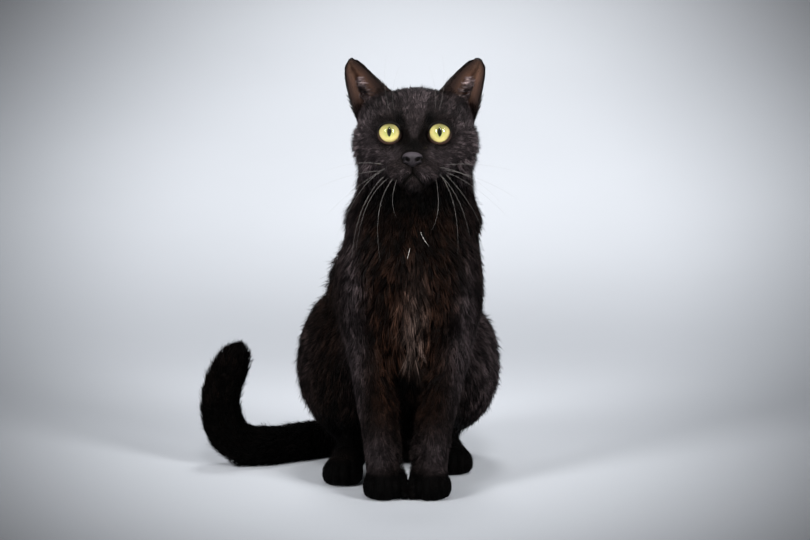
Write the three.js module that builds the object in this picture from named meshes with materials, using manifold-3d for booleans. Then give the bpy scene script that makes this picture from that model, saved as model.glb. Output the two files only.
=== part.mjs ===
// A domestic shorthair cat, sitting upright with its forelegs together and its tail laid round its
// right side with the end raised. Millimetres, +Z up. The cat faces -Y and its left side is at +X.
//
// The body is one blended form, made of ellipsoids and tapered limbs, whose surface is the tips of the
// coat. Each node wraps a grid round its own axis out to that form, and is then parted from its
// neighbours by a thin gap, so that the nodes meet face to face.
import * as THREE from "three";
import { mergeVertices } from "three/addons/utils/BufferGeometryUtils.js";
import Module from "manifold-3d";

const wasm = await Module();
wasm.setup();

// ---- Driving dimensions ------------------------------------------------------------------------------
const GAP = 0.3; // between nodes that touch
const EYEBALL_R = 11;
const EYE_SPACING = 42; // between the two pupils
const HEAD_CENTRE = [3, -15, 300];
const HEAD_TURN = 2; // degrees, towards the cat's right
const PAW_HALF_WIDTH = 18.2;
const FOREPAW_X = { right: -22.8, left: 14.4 };
const LEG_Y = -27; // the forelegs' line above the floor
const HAUNCH = {
  right: { centre: [-62.5, 94, 95], radii: [41.5, 68, 62] },
  left: { centre: [41, 107, 93], radii: [39.5, 64, 59] },
};
const HINDFOOT = {
  right: { toe: [-61.5, -7], heel: [-52, 108] },
  left: { toe: [39.5, 41], heel: [26, 148] },
};
const TAIL_R = 17;

// ---- Small helpers -----------------------------------------------------------------------------------
const rad = THREE.MathUtils.degToRad;
const clamp = THREE.MathUtils.clamp;
const lerp = THREE.MathUtils.lerp;
const vec = ([x, y, z]) => new THREE.Vector3(x, y, z);
const midway = (a, b) => a.map((x, i) => (x + b[i]) / 2);
const SIDES = ["right", "left"];
const signOf = (side) => (side === "left" ? 1 : -1);

// The head's own frame: its origin is the middle of the skull, -Y looks out of the face.
const headFrame = new THREE.Matrix4()
  .makeRotationZ(rad(-HEAD_TURN))
  .setPosition(...HEAD_CENTRE);
const headFrameInverse = headFrame.clone().invert();
const inHead = (point) => vec(point).applyMatrix4(headFrame).toArray();

// ---- Fields: the distance to a form's surface, negative inside ----------------------------------------
const ball = (centre, radii, { pitch = 0, yaw = 0 } = {}) => {
  const [cx, cy, cz] = centre;
  const [rx, ry, rz] = radii;
  const e = new THREE.Matrix4().makeRotationFromEuler(new THREE.Euler(rad(pitch), 0, rad(yaw), "ZYX"))
    .elements;
  return (x, y, z) => {
    const dx = x - cx;
    const dy = y - cy;
    const dz = z - cz;
    const u = (e[0] * dx + e[1] * dy + e[2] * dz) / rx;
    const v = (e[4] * dx + e[5] * dy + e[6] * dz) / ry;
    const w = (e[8] * dx + e[9] * dy + e[10] * dz) / rz;
    const near = Math.hypot(u, v, w);
    const slope = Math.hypot(u / rx, v / ry, w / rz);
    return slope > 1e-9 ? (near * (near - 1)) / slope : -Math.min(rx, ry, rz);
  };
};

const limb = (a, ra, b, rb) => {
  const [bx, by, bz] = [b[0] - a[0], b[1] - a[1], b[2] - a[2]];
  const length2 = bx * bx + by * by + bz * bz;
  return (x, y, z) => {
    const px = x - a[0];
    const py = y - a[1];
    const pz = z - a[2];
    const t = clamp((px * bx + py * by + pz * bz) / length2, 0, 1);
    return Math.hypot(px - bx * t, py - by * t, pz - bz * t) - lerp(ra, rb, t);
  };
};

// Joins forms with a fillet about as wide as `width`.
const blend = (width, ...fields) => (x, y, z) => {
  let least = fields[0](x, y, z);
  for (let i = 1; i < fields.length; i += 1) {
    const other = fields[i](x, y, z);
    const overlap = Math.max(width - Math.abs(least - other), 0);
    least = Math.min(least, other) - (overlap * overlap) / (4 * width);
  }
  return least;
};


const mirrored = (field) => (x, y, z) => field(Math.abs(x), y, z);

const placedInHead = (field) => {
  const e = headFrameInverse.elements;
  return (x, y, z) =>
    field(
      e[0] * x + e[4] * y + e[8] * z + e[12],
      e[1] * x + e[5] * y + e[9] * z + e[13],
      e[2] * x + e[6] * y + e[10] * z + e[14],
    );
};

// ---- The head's form, in its own frame, one half mirrored ---------------------------------------------
const EYE = [EYE_SPACING / 2, -28, 6];
const NOSE = [0, -58, -14];

const skullForm = mirrored(
  blend(
    7,
    ball([0, 8, 10], [41, 42, 34]), // braincase
    ball([23, 5, 19], [24.5, 28, 20]), // temple, up to the ear
    ball([0, -12, 16], [29, 24, 23]), // forehead
    ball([29, -2.5, -4], [25, 26, 28]), // cheek
    ball([31, -15, 5], [10, 12, 13]), // outer corner of the eye
    ball([23, -5, -24], [24, 24, 20]), // jowl
    limb([0, -24, 13], 13.5, [0, -48, -7], 9), // bridge of the nose
    ball([18.5, -22.5, 18.5], [14, 11.5, 8]), // brow
    ball([20, -24, -9], [15, 12, 9]), // below the eye
    ball([0, -34, -20], [22, 22, 16]), // muzzle
    ball([18, -26, -21], [14, 13.5, 13]), // side of the muzzle
  ),
);
const lipForm = mirrored(
  blend(4, ball([11, -44, -23.5], [12.5, 13, 12.5]), ball([0, -39, -37.5], [11, 12, 9.5])),
);
const headForm = placedInHead(blend(6, skullForm, lipForm));

// ---- The trunk's form --------------------------------------------------------------------------------
const neckForm = blend(
  16,
  ball([3, 4, 266], [50, 43, 34]),
  ball([1, 8, 230], [59.5, 48, 36]),
);
const trunkForm = blend(
  18,
  ball([-1, 8, 196], [59, 55, 46]), // breast
  ball([-1, 6, 152], [40, 45, 50]), // lower breast
  ball([-10, 52, 166], [65, 58, 60], { pitch: 20 }), // ribs
  ball([-18, 100, 116], [74, 60, 70], { pitch: 20 }), // belly
  ball([-16, 148, 62], [60, 54, 64]), // rump
);

// ---- The limbs' forms --------------------------------------------------------------------------------
const ELBOW = { right: [-37, -4, 128], left: [32, -4, 128] };
const WRIST = { right: [-25.5, LEG_Y, 42], left: [16, LEG_Y, 42] };
const SHOULDER = { right: [-45, 4, 168], left: [39, 4, 168] };
const WRIST_R = 15.8;

const shoulderForm = (side) =>
  blend(10, ball(SHOULDER[side], [22, 34, 48]), limb(SHOULDER[side], 20, ELBOW[side], 19));
const forearmForm = (side) =>
  blend(
    5,
    limb(midway(SHOULDER[side], ELBOW[side]), 18, ELBOW[side], 20.5),
    limb(ELBOW[side], 20.5, WRIST[side], WRIST_R),
    limb(WRIST[side], WRIST_R, [FOREPAW_X[side], LEG_Y - 4, 15], WRIST_R),
  );

// A paw about its own middle: the toes point along -Y before it is turned and placed.
function pawForm([x, y], turn, halfWidth, length, height) {
  const spread = halfWidth - 6.2;
  const toes = [-1, -0.34, 0.34, 1].map((place) => {
    const outer = Math.abs(place) > 0.5;
    return ball(
      [place * spread, outer ? -length + 17 : -length + 11.5, height * 0.4],
      [6.2, 11.5, height * 0.42],
      { yaw: -place * 8 },
    );
  });
  const pad = ball([0, -length * 0.42, height * 0.5], [halfWidth - 2.5, length * 0.5, height * 0.58]);
  const form = blend(3, pad, ...toes);
  const c = Math.cos(rad(turn));
  const s = Math.sin(rad(turn));
  return (px, py, pz) => {
    const dx = px - x;
    const dy = py - y;
    return form(c * dx + s * dy, -s * dx + c * dy, pz);
  };
}
const FOREPAW_LENGTH = 38;
const forepawForm = (side) =>
  pawForm([FOREPAW_X[side], LEG_Y], signOf(side) * 2, PAW_HALF_WIDTH, FOREPAW_LENGTH, 26);

const HINDPAW_LENGTH = 36;
const footTurn = (side) => {
  const { toe, heel } = HINDFOOT[side];
  return THREE.MathUtils.radToDeg(Math.atan2(toe[0] - heel[0], heel[1] - toe[1]));
};
const hindfootForm = (side) => {
  const { toe, heel } = HINDFOOT[side];
  const turn = footTurn(side);
  const ankle = [
    toe[0] - Math.sin(rad(turn)) * HINDPAW_LENGTH,
    toe[1] + Math.cos(rad(turn)) * HINDPAW_LENGTH,
  ];
  return blend(
    6,
    pawForm(ankle, turn, PAW_HALF_WIDTH, HINDPAW_LENGTH, 25),
    limb([...ankle, 14], 14.5, [...heel, 17], 16),
  );
};
const haunchForm = (side) => {
  const { centre, radii } = HAUNCH[side];
  const { heel } = HINDFOOT[side];
  const knee = [centre[0] - signOf(side) * 2, centre[1] - radii[1] + 26, 78];
  const elbow = [ELBOW[side][0], 22, 130];
  return blend(
    14,
    ball(centre, radii, { pitch: 8 }),
    limb(knee, 26, [...heel, 30], 20),
    limb(elbow, 18, knee, 24), // the fold of skin between the elbow and the knee
  );
};

// ---- The tail's form: laid back and outwards on the floor, with the end raised -------------------------
const TAIL_FLOOR_Z = TAIL_R - 1;
const tailCurve = new THREE.CatmullRomCurve3(
  [
    [-22, 174, 34],
    [-38, 180, 19],
    [-66, 162, TAIL_FLOOR_Z],
    [-98, 132, TAIL_FLOOR_Z],
    [-132, 105, TAIL_FLOOR_Z],
    [-158, 97, 20],
    [-171, 95, 38],
    [-173.5, 95, 62],
    [-168, 95, 83],
    [-159, 94, 100],
  ].map(vec),
);
const TAIL_BEADS = 26;
const tailRadius = (t) => TAIL_R * (1 + 0.06 * Math.sin(Math.PI * t) - 0.14 * t ** 5);
const tailForm = blend(
  6,
  ...Array.from({ length: TAIL_BEADS }, (_, i) => {
    const [a, b] = [i / TAIL_BEADS, (i + 1) / TAIL_BEADS];
    return limb(
      tailCurve.getPoint(a).toArray(),
      tailRadius(a),
      tailCurve.getPoint(b).toArray(),
      tailRadius(b),
    );
  }),
);

// ---- Fields that each node reads: its own form with those it flows into --------------------------------
const FILLET = 9;
const bodyField = blend(
  12,
  trunkForm,
  neckForm,
  ...SIDES.map(shoulderForm),
  ...SIDES.map(haunchForm),
);
const headField = blend(FILLET, bodyField, headForm);
const forelegField = (side) => blend(5, forearmForm(side), forepawForm(side));

// ---- Solids ------------------------------------------------------------------------------------------
const FIELD_STEP = 1;

// How far along a ray the form goes before its surface, or `reach` if it goes further.
function distanceOut(field, origin, way, level, reach) {
  const at = (d) => field(origin.x + way.x * d, origin.y + way.y * d, origin.z + way.z * d) - level;
  let inside = 0;
  let d = 0;
  while (d < reach) {
    const value = at(d);
    if (value > 0) break;
    inside = d;
    d += Math.max(FIELD_STEP, -value * 0.6);
  }
  if (d >= reach) return reach;
  let outside = d;
  for (let i = 0; i < 12; i += 1) {
    const middle = (inside + outside) / 2;
    if (at(middle) > 0) outside = middle;
    else inside = middle;
  }
  return (inside + outside) / 2;
}

// A sphere's grid stretched along a curve: every vertex moves out along its own ray to the surface of
// the field, or to `reach`. `caps` and `tail` are the rows round the curve's start and its end, and
// `front` above 1 crowds the rows towards the start.
function wrap(form) {
  const { curve, field, sides, rows, caps, tail = caps, reach } = form;
  const { level = 0, across = [1, 0, 0], front = 1 } = form;
  const total = rows + caps + tail;
  const geometry = new THREE.SphereGeometry(1, sides, total);
  const position = geometry.attributes.position;
  for (let row = 0; row <= total; row += 1) {
    const share = clamp((row - caps) / Math.max(rows, 1), 0, 1);
    let polar = Math.PI / 2;
    if (row < caps) polar *= (row / caps) ** front;
    if (row > caps + rows) polar *= 2 - (total - row) / tail;
    const origin = curve.getPointAt(share);
    const ahead = curve.getTangentAt(share);
    const out = vec(across).addScaledVector(ahead, -vec(across).dot(ahead)).normalize();
    const over = new THREE.Vector3().crossVectors(ahead, out);
    for (let column = 0; column <= sides; column += 1) {
      const turn = (column / sides) * 2 * Math.PI;
      const way = ahead.clone().multiplyScalar(-Math.cos(polar));
      way.addScaledVector(out, Math.sin(polar) * Math.cos(turn));
      way.addScaledVector(over, Math.sin(polar) * Math.sin(turn));
      const limit = typeof reach === "function" ? reach(share, way, origin) : reach;
      const d = field ? distanceOut(field, origin, way, level, limit) : limit;
      position.setXYZ(row * (sides + 1) + column, ...origin.clone().addScaledVector(way, d).toArray());
    }
  }
  return solidOf(geometry);
}

function solidOf(geometry) {
  const bare = geometry.clone();
  bare.deleteAttribute("normal");
  bare.deleteAttribute("uv");
  const merged = mergeVertices(bare, 1e-3);
  const solid = new wasm.Manifold(
    new wasm.Mesh({
      numProp: 3,
      vertProperties: Float32Array.from(merged.attributes.position.array),
      triVerts: Uint32Array.from(merged.index.array),
    }),
  );
  return solid.volume() < 0 ? flipped(merged) : solid;
}

function flipped(merged) {
  const triVerts = Uint32Array.from(merged.index.array);
  for (let i = 0; i < triVerts.length; i += 3) {
    [triVerts[i + 1], triVerts[i + 2]] = [triVerts[i + 2], triVerts[i + 1]];
  }
  return new wasm.Manifold(
    new wasm.Mesh({
      numProp: 3,
      vertProperties: Float32Array.from(merged.attributes.position.array),
      triVerts,
    }),
  );
}

const line = (a, b) => new THREE.LineCurve3(vec(a), vec(b));

const ellipsoid = (centre, radii, sides = 32, rows = 20) =>
  solidOf(new THREE.SphereGeometry(1, sides, rows).scale(...radii).translate(...centre));

// A block that fills the side of a plane that `way` points to, `clear` away from the plane.
const HALF_SPACE = 900;
function beyond(point, way, clear = 0) {
  const block = new THREE.BoxGeometry(HALF_SPACE, HALF_SPACE, HALF_SPACE);
  const turn = new THREE.Quaternion().setFromUnitVectors(vec([0, 0, 1]), vec(way).normalize());
  const middle = vec(point).addScaledVector(vec(way).normalize(), HALF_SPACE / 2 + clear);
  return solidOf(block.applyQuaternion(turn).translate(...middle.toArray()));
}
const aboveFloor = beyond([0, 0, 0], [0, 0, 1]);

const largest = (solid) =>
  solid.decompose().reduce((best, piece) => (piece.volume() > best.volume() ? piece : best));

const reversed = (way) => way.map((x) => -x);

// ---- Materials ---------------------------------------------------------------------------------------
const coat = (name, color) => new THREE.MeshStandardMaterial({ name, color, roughness: 0.75, metalness: 0 });
const blackCoat = coat("black_coat", 0x14100f);
const breastCoat = coat("breast_coat", 0x1f1512);
const earSkin = coat("ear_skin", 0x2a1c18);
const leather = new THREE.MeshStandardMaterial({ name: "nose_leather", color: 0x2b272b, roughness: 0.5 });
const lidSkin = new THREE.MeshStandardMaterial({ name: "lid_skin", color: 0x0b0908, roughness: 0.45 });
const eyeMaterial = new THREE.MeshStandardMaterial({ name: "eye", color: 0xd8c84a, roughness: 0.08 });

const cat = new THREE.Group();
cat.name = "cat";

function add(name, solid, material) {
  const mesh = largest(solid).getMesh();
  const geometry = new THREE.BufferGeometry();
  geometry.setAttribute("position", new THREE.BufferAttribute(mesh.vertProperties, 3));
  geometry.setIndex(new THREE.BufferAttribute(mesh.triVerts, 1));
  geometry.computeVertexNormals();
  const node = new THREE.Mesh(geometry, material.clone());
  node.name = name;
  cat.add(node);
}

// ---- Where the nodes part ----------------------------------------------------------------------------
const HEAD_PART = { point: [2, -10, 268], way: [0, -0.7, 0.71] };
const NECK_PART = { point: [0, 10, 220], way: [0, -0.22, 0.98] };
const WAIST_PART = { point: [-6, 80, 140], way: [0, -0.64, 0.77] };
const WRIST_PART = { point: [0, LEG_Y, 31], way: [0, 0.12, 1] };

const headSide = (clear) => beyond(HEAD_PART.point, HEAD_PART.way, clear);
const neckSide = (clear) => beyond(HEAD_PART.point, reversed(HEAD_PART.way), clear);

// ---- Head and neck: one wrap round a curve from the face down the neck ---------------------------------
const headWrap = (level) =>
  wrap({
    curve: new THREE.CatmullRomCurve3(
      [[2.5, -35, 296], [3, -12, 286], [2, 4, 262], [1, 9, 236], [1, 9, 212]].map(vec),
    ),
    field: headField,
    sides: 44,
    rows: 15,
    caps: 11,
    tail: 3,
    reach: 90,
    level,
    front: 1.15,
  });

// The nose leather, with a comma-shaped nostril in each wing.
const noseField = placedInHead(
  mirrored(
    blend(
      2.5,
      ball([0, NOSE[1] + 2.5, NOSE[2] + 2.5], [6.5, 6, 3.6]),
      ball([5, NOSE[1] + 3.2, NOSE[2] + 0.3], [3.6, 5, 3.8]),
      ball([0, NOSE[1] + 2, NOSE[2] - 1.5], [3.4, 5.4, 4.6]),
    ),
  ),
);
const noseWrap = (level) =>
  wrap({
    curve: line(inHead([0, NOSE[1] + 3, NOSE[2]]), inHead([0, NOSE[1] + 4.5, NOSE[2]])),
    field: noseField,
    sides: 18,
    rows: 1,
    caps: 5,
    reach: 14,
    level,
  });
const nostril = (sign) =>
  ellipsoid([0, 0, 0], [2, 4.2, 1.5], 10, 6)
    .rotate(0, sign * 28, 0)
    .translate(inHead([sign * 4.4, NOSE[1] - 3, NOSE[2] - 0.6]));

const nose = noseWrap(0).subtract(nostril(1)).subtract(nostril(-1));

// The mouth: one line down from the nose and one along each lip, cut to an even depth.
const LIP_LINE = [
  [0, -25.5],
  [4, -29],
  [8.5, -35.5],
  [14, -38],
  [20, -34],
];
const LINE_WIDTH = 1.1;
function slot(points, width) {
  const path = new THREE.CatmullRomCurve3(points.map(([x, z]) => new THREE.Vector3(x, 0, z)));
  const steps = 10;
  const shape = new THREE.Shape();
  const edge = (t, sign) => {
    const p = path.getPointAt(t);
    const ahead = path.getTangentAt(t);
    const half = (sign * width * (1 - 0.55 * t)) / 2;
    return [p.x - ahead.z * half, p.z + ahead.x * half];
  };
  shape.moveTo(...edge(0, 1));
  for (let i = 1; i <= steps; i += 1) shape.lineTo(...edge(i / steps, 1));
  for (let i = steps; i >= 0; i -= 1) shape.lineTo(...edge(i / steps, -1));
  const plate = new THREE.ExtrudeGeometry(shape, { depth: 45, bevelEnabled: false });
  return plate.rotateX(Math.PI / 2).translate(0, -30, 0).applyMatrix4(headFrame);
}
const mouthLines = [
  slot(LIP_LINE, LINE_WIDTH),
  slot(LIP_LINE.map(([x, z]) => [-x, z]), LINE_WIDTH),
  slot([[0, -16], [0, -21], [0, -27]], LINE_WIDTH),
].map(solidOf);
const LINE_DEPTH = 2.2;
const mouth = wasm.Manifold.union(mouthLines).subtract(headWrap(-LINE_DEPTH));

// Eyes and lids turn about the line of sight.
const LID = { opening: 46, outer: 98, inside: EYEBALL_R + GAP, outside: EYEBALL_R + 2.1 };
const LID_STEPS = 3;
const eyeCentre = (sign) => inHead([sign * EYE[0], EYE[1], EYE[2]]);
const SIGHT_TURN = 4; // degrees outwards

function alongSight(geometry, sign) {
  geometry.rotateX(Math.PI / 2); // the lathe's +Y to +Z ...
  geometry.rotateX(Math.PI / 2); // ... and on to -Y
  return geometry
    .rotateZ(rad(sign * SIGHT_TURN - HEAD_TURN))
    .translate(...eyeCentre(sign));
}
const polar = (r, degrees) => new THREE.Vector2(r * Math.sin(rad(degrees)), r * Math.cos(rad(degrees)));

function eyeball(sign) {
  const steps = 9;
  const profile = Array.from({ length: steps + 1 }, (_, i) => {
    const angle = (i / steps) * 180;
    const cornea = 1.5 * Math.max(0, Math.cos(rad(Math.min(angle * 1.8, 90)))) ** 1.2;
    return polar(EYEBALL_R + cornea, angle);
  });
  profile[0].x = 0;
  profile[steps].x = 0;
  return solidOf(alongSight(new THREE.LatheGeometry(profile.reverse(), 16), sign));
}

function lids(sign) {
  const corner = (turn) => 10 * Math.cos(turn) ** 2 + 7 * Math.max(0, Math.cos(turn)) ** 8;
  const profile = [];
  for (let i = 0; i <= LID_STEPS; i += 1) {
    profile.push(polar(LID.inside, lerp(LID.opening, LID.outer, i / LID_STEPS)));
  }
  for (let i = LID_STEPS; i >= 0; i -= 1) {
    const share = i / LID_STEPS;
    const r = lerp(LID.outside - 1, LID.outside, Math.min(1, share * 2.5));
    profile.push(polar(r, lerp(LID.opening, LID.outer, share)));
  }
  profile.push(profile[0].clone());
  const ring = new THREE.LatheGeometry(profile, 22);
  const position = ring.attributes.position;
  for (let i = 0; i < position.count; i += 1) {
    const p = new THREE.Vector3().fromBufferAttribute(position, i);
    const turn = Math.atan2(p.z, p.x) + (sign > 0 ? Math.PI + 0.35 : -0.35);
    const angle = THREE.MathUtils.radToDeg(Math.acos(p.y / p.length()));
    const inner = 1 - (angle - LID.opening) / (LID.outer - LID.opening);
    const opened = rad(angle + corner(turn) * inner);
    const flat = Math.hypot(p.x, p.z);
    const r = p.length();
    const k = (r * Math.sin(opened)) / flat;
    position.setXYZ(i, p.x * k, r * Math.cos(opened), p.z * k);
  }
  return solidOf(alongSight(ring, sign));
}

const eyeSocket = (sign) => ellipsoid(eyeCentre(sign), Array(3).fill(LID.outside + GAP), 20, 12);

let head = headWrap(0)
  .intersect(headSide(GAP / 2))
  .subtract(noseWrap(GAP))
  .subtract(mouth);
for (const sign of [-1, 1]) head = head.subtract(eyeSocket(sign));
add("head", head, blackCoat);
add("nose", nose, leather);
for (const side of SIDES) {
  const sign = signOf(side);
  add(`eye_${side}`, eyeball(sign), eyeMaterial);
  add(`eyelids_${side}`, lids(sign), lidSkin);
}

// ---- Ears: a rolled leaf between an outer and an inner edge, with a rounded back -----------------------
const EAR = {
  outer: [[44, 7, 4], [54, 0, 26], [58.5, 0, 46], [58.5, 3, 58], [54, 5, 68]],
  back: [[32, 27, 4], [40, 29, 28], [47, 21, 48], [53, 12, 60], [53.5, 5.5, 68.5]],
  inner: [[12, 4, 32], [25, -3, 45], [37, -1, 58], [45.5, 2, 65.5], [53, 5, 69]],
  thick: [3.2, 1.5],
};
const EAR_ROWS = 13;
const EAR_HALF = 8; // points across each face

function ear(sign) {
  const edges = ["outer", "back", "inner"].map(
    (name) => new THREE.CatmullRomCurve3(EAR[name].map(([x, y, z]) => vec([sign * x, y, z]))),
  );
  const sides = EAR_HALF * 2;
  const geometry = new THREE.SphereGeometry(1, sides, EAR_ROWS);
  const position = geometry.attributes.position;
  const across = (t, s) => {
    const [o, b, i] = edges.map((edge) => edge.getPoint(t));
    const middle = o.clone().add(i).multiplyScalar(0.5);
    const control = b.clone().multiplyScalar(2).sub(middle);
    return new THREE.QuadraticBezierCurve3(o, control, i).getPoint(s);
  };
  const normalAt = (t, s) => {
    const e = 0.02;
    const du = across(t, Math.min(s + e, 1)).sub(across(t, Math.max(s - e, 0)));
    const dv = across(Math.min(t + e, 1), s).sub(across(Math.max(t - e, 0), s));
    return du.cross(dv).normalize().multiplyScalar(sign);
  };
  for (let row = 0; row <= EAR_ROWS; row += 1) {
    const t = clamp((row - 1) / (EAR_ROWS - 2), 0, 1) ** 0.9;
    const ends = row === 0 || row === EAR_ROWS;
    for (let column = 0; column <= sides; column += 1) {
      const back = column <= EAR_HALF;
      const s = back ? column / EAR_HALF : 2 - column / EAR_HALF;
      let p = across(t, ends ? 0.5 : s);
      if (!ends) {
        const body = Math.sin(Math.PI * clamp(s, 0.0, 1)) ** 0.5;
        const thick = lerp(EAR.thick[0], EAR.thick[1], t) * body * 0.5;
        p = p.addScaledVector(normalAt(t, s), (back ? 1 : -1) * thick);
      }
      position.setXYZ(row * (sides + 1) + column, ...p.toArray());
    }
  }
  return solidOf(geometry.applyMatrix4(headFrame));
}
const headGrown = headWrap(GAP);
for (const side of SIDES) add(`ear_${side}`, ear(signOf(side)).subtract(headGrown), earSkin);

// ---- Neck --------------------------------------------------------------------------------------------
const neck = headWrap(0)
  .intersect(neckSide(GAP / 2))
  .intersect(beyond(NECK_PART.point, NECK_PART.way, GAP / 2));
add("neck", neck, blackCoat);

// ---- Trunk: one wrap, from which the legs' cells are cut ------------------------------------------------
const bodyWrap = wrap({
  curve: new THREE.CatmullRomCurve3(
    [[1, 10, 232], [-2, 40, 180], [-7, 92, 118], [-12, 140, 66]].map(vec),
  ),
  field: bodyField,
  sides: 38,
  rows: 18,
  caps: 6,
  reach: 120,
}).intersect(aboveFloor);

// ---- Forelegs ----------------------------------------------------------------------------------------
const forelegCurve = (side) =>
  new THREE.CatmullRomCurve3(
    [
      [signOf(side) * 46 + 0.5, -7, 176],
      ELBOW[side],
      [WRIST[side][0], LEG_Y + 1, 60],
      [FOREPAW_X[side], LEG_Y, 20],
    ].map(vec),
  );
// The leg's cell is deep from front to back at the shoulder, and narrow towards the other leg.
const CELL = { deep: [40, 25], outer: 34, inner: [25, 22] };
const cellReach = (side, margin) => (share, way) => {
  const down = Math.min(1, share * 2.5);
  const deep = lerp(...CELL.deep, down) + margin;
  const wide = (way.x * signOf(side) > 0 ? CELL.outer : lerp(...CELL.inner, down)) + margin;
  return 1 / Math.hypot(way.x / wide, way.y / deep, way.z / deep);
};
const forelegCell = (side, margin) =>
  wrap({ curve: forelegCurve(side), sides: 16, rows: 7, caps: 3, reach: cellReach(side, margin) });

function foreleg(side) {
  const lower = wrap({
    curve: line(midway(SHOULDER[side], ELBOW[side]), [WRIST[side][0], LEG_Y, 20]),
    field: forelegField(side),
    sides: 16,
    rows: 9,
    caps: 2,
    reach: 40,
  });
  return bodyWrap.intersect(forelegCell(side, 0)).add(lower);
}

function forepaw(side) {
  return wrap({
    curve: line([FOREPAW_X[side], LEG_Y - 14, 12], [FOREPAW_X[side], LEG_Y - 3, 13]),
    field: forelegField(side),
    sides: 24,
    rows: 2,
    caps: 6,
    reach: 44,
  });
}
for (const side of SIDES) {
  const above = beyond(WRIST_PART.point, WRIST_PART.way, GAP / 2);
  const below = beyond(WRIST_PART.point, reversed(WRIST_PART.way), GAP / 2);
  const neckClear = beyond(NECK_PART.point, reversed(NECK_PART.way), GAP / 2);
  add(`foreleg_${side}`, foreleg(side).intersect(above).intersect(neckClear), blackCoat);
  add(`forepaw_${side}`, forepaw(side).intersect(below).intersect(aboveFloor), blackCoat);
}

// ---- Tail in three lengths ---------------------------------------------------------------------------
const tailWrap = (level) =>
  wrap({
    curve: tailCurve,
    field: tailForm,
    sides: 14,
    rows: 20,
    caps: 3,
    reach: 24,
    level,
    across: [0, 1, 0],
  });
const tail = tailWrap(0).intersect(aboveFloor);
const TAIL_CUTS = [0.36, 0.66].map((t) => ({
  point: tailCurve.getPointAt(t).toArray(),
  way: tailCurve.getTangentAt(t).toArray(),
}));
const after = ({ point, way }) => beyond(point, way, GAP / 2);
const before = ({ point, way }) => beyond(point, reversed(way), GAP / 2);
add("tail_root", tail.intersect(before(TAIL_CUTS[0])), blackCoat);
add("tail_middle", tail.intersect(after(TAIL_CUTS[0])).intersect(before(TAIL_CUTS[1])), blackCoat);
add("tail_end", tail.intersect(after(TAIL_CUTS[1])), blackCoat);
const tailBed = tailWrap(2 * GAP);

// ---- Hind legs: the haunch rests on the long foot -------------------------------------------------------
const HAUNCH_CELL = { right: [50, 76, 78], left: [47, 72, 76] };
const haunchCell = (side, margin) =>
  ellipsoid(HAUNCH[side].centre, HAUNCH_CELL[side].map((r) => r + margin), 20, 12);

function hindfoot(side, level) {
  const { toe, heel } = HINDFOOT[side];
  const at = (share) => [lerp(toe[0], heel[0], share), lerp(toe[1], heel[1], share), 13];
  return wrap({
    curve: line(at(0.2), at(0.88)),
    field: hindfootForm(side),
    sides: 22,
    rows: 3,
    caps: 6,
    reach: 40,
    level,
  });
}
const feetBed = hindfoot("right", GAP).add(hindfoot("left", GAP)).add(tailBed);
for (const side of SIDES) {
  add(`haunch_${side}`, bodyWrap.intersect(haunchCell(side, 0)).subtract(feetBed), blackCoat);
  add(`hindfoot_${side}`, hindfoot(side, 0).intersect(aboveFloor).subtract(tailBed), blackCoat);
}

// ---- Chest, and the hips with the loin ------------------------------------------------------------------
let trunk = bodyWrap.subtract(feetBed);
for (const side of SIDES) {
  trunk = trunk.subtract(forelegCell(side, GAP)).subtract(haunchCell(side, GAP));
}
trunk = trunk.intersect(beyond(NECK_PART.point, reversed(NECK_PART.way), GAP / 2));
add("chest", trunk.intersect(beyond(WAIST_PART.point, WAIST_PART.way, GAP / 2)), breastCoat);
add("hips", trunk.intersect(beyond(WAIST_PART.point, reversed(WAIST_PART.way), GAP / 2)), blackCoat);

// ---- The origin: on the floor, under the middle of the whole cat -----------------------------------------
const middle = new THREE.Box3().setFromObject(cat).getCenter(new THREE.Vector3());
cat.position.set(-middle.x, -middle.y, 0);

export default cat;
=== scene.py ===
# %% [markdown]
# # A short-haired black cat, sitting
#
# This lesson dresses a life-size model of a sitting cat. The solids from the workshop are the frame: they
# say how large the cat is and where each part lies, out to the tips of its coat. Here they get a skin, two
# eyes, a nose, two ears, whiskers and a coat of some hundred thousand small tufts.
#
# The frame comes in first, and its box is kept, because the finished cat has to stay the same size.

# %% Load the frame
import math

import bmesh
import bpy
import numpy as np
from mathutils import Matrix, Vector
from mathutils.kdtree import KDTree


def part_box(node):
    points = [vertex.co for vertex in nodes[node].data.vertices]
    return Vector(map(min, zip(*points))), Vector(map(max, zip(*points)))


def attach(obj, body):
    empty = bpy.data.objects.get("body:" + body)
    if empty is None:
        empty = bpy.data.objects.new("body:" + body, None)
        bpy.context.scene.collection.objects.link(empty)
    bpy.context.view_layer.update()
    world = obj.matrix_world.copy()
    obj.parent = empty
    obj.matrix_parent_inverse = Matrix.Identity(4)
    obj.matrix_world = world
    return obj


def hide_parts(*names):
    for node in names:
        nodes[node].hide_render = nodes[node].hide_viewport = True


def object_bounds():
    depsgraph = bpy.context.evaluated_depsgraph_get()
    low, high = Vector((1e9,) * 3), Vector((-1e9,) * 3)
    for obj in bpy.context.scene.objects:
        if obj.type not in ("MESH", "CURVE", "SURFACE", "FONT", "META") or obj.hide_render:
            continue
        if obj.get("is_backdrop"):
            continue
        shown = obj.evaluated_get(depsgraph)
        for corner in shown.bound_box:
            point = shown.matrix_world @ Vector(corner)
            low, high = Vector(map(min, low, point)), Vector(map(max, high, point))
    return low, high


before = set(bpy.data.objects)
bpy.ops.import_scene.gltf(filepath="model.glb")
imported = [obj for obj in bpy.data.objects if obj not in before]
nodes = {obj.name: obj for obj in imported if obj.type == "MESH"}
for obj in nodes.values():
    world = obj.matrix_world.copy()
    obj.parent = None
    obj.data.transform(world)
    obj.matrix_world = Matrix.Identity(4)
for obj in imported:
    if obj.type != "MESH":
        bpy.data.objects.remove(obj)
cad_box = [list(corner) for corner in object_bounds()]
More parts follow.
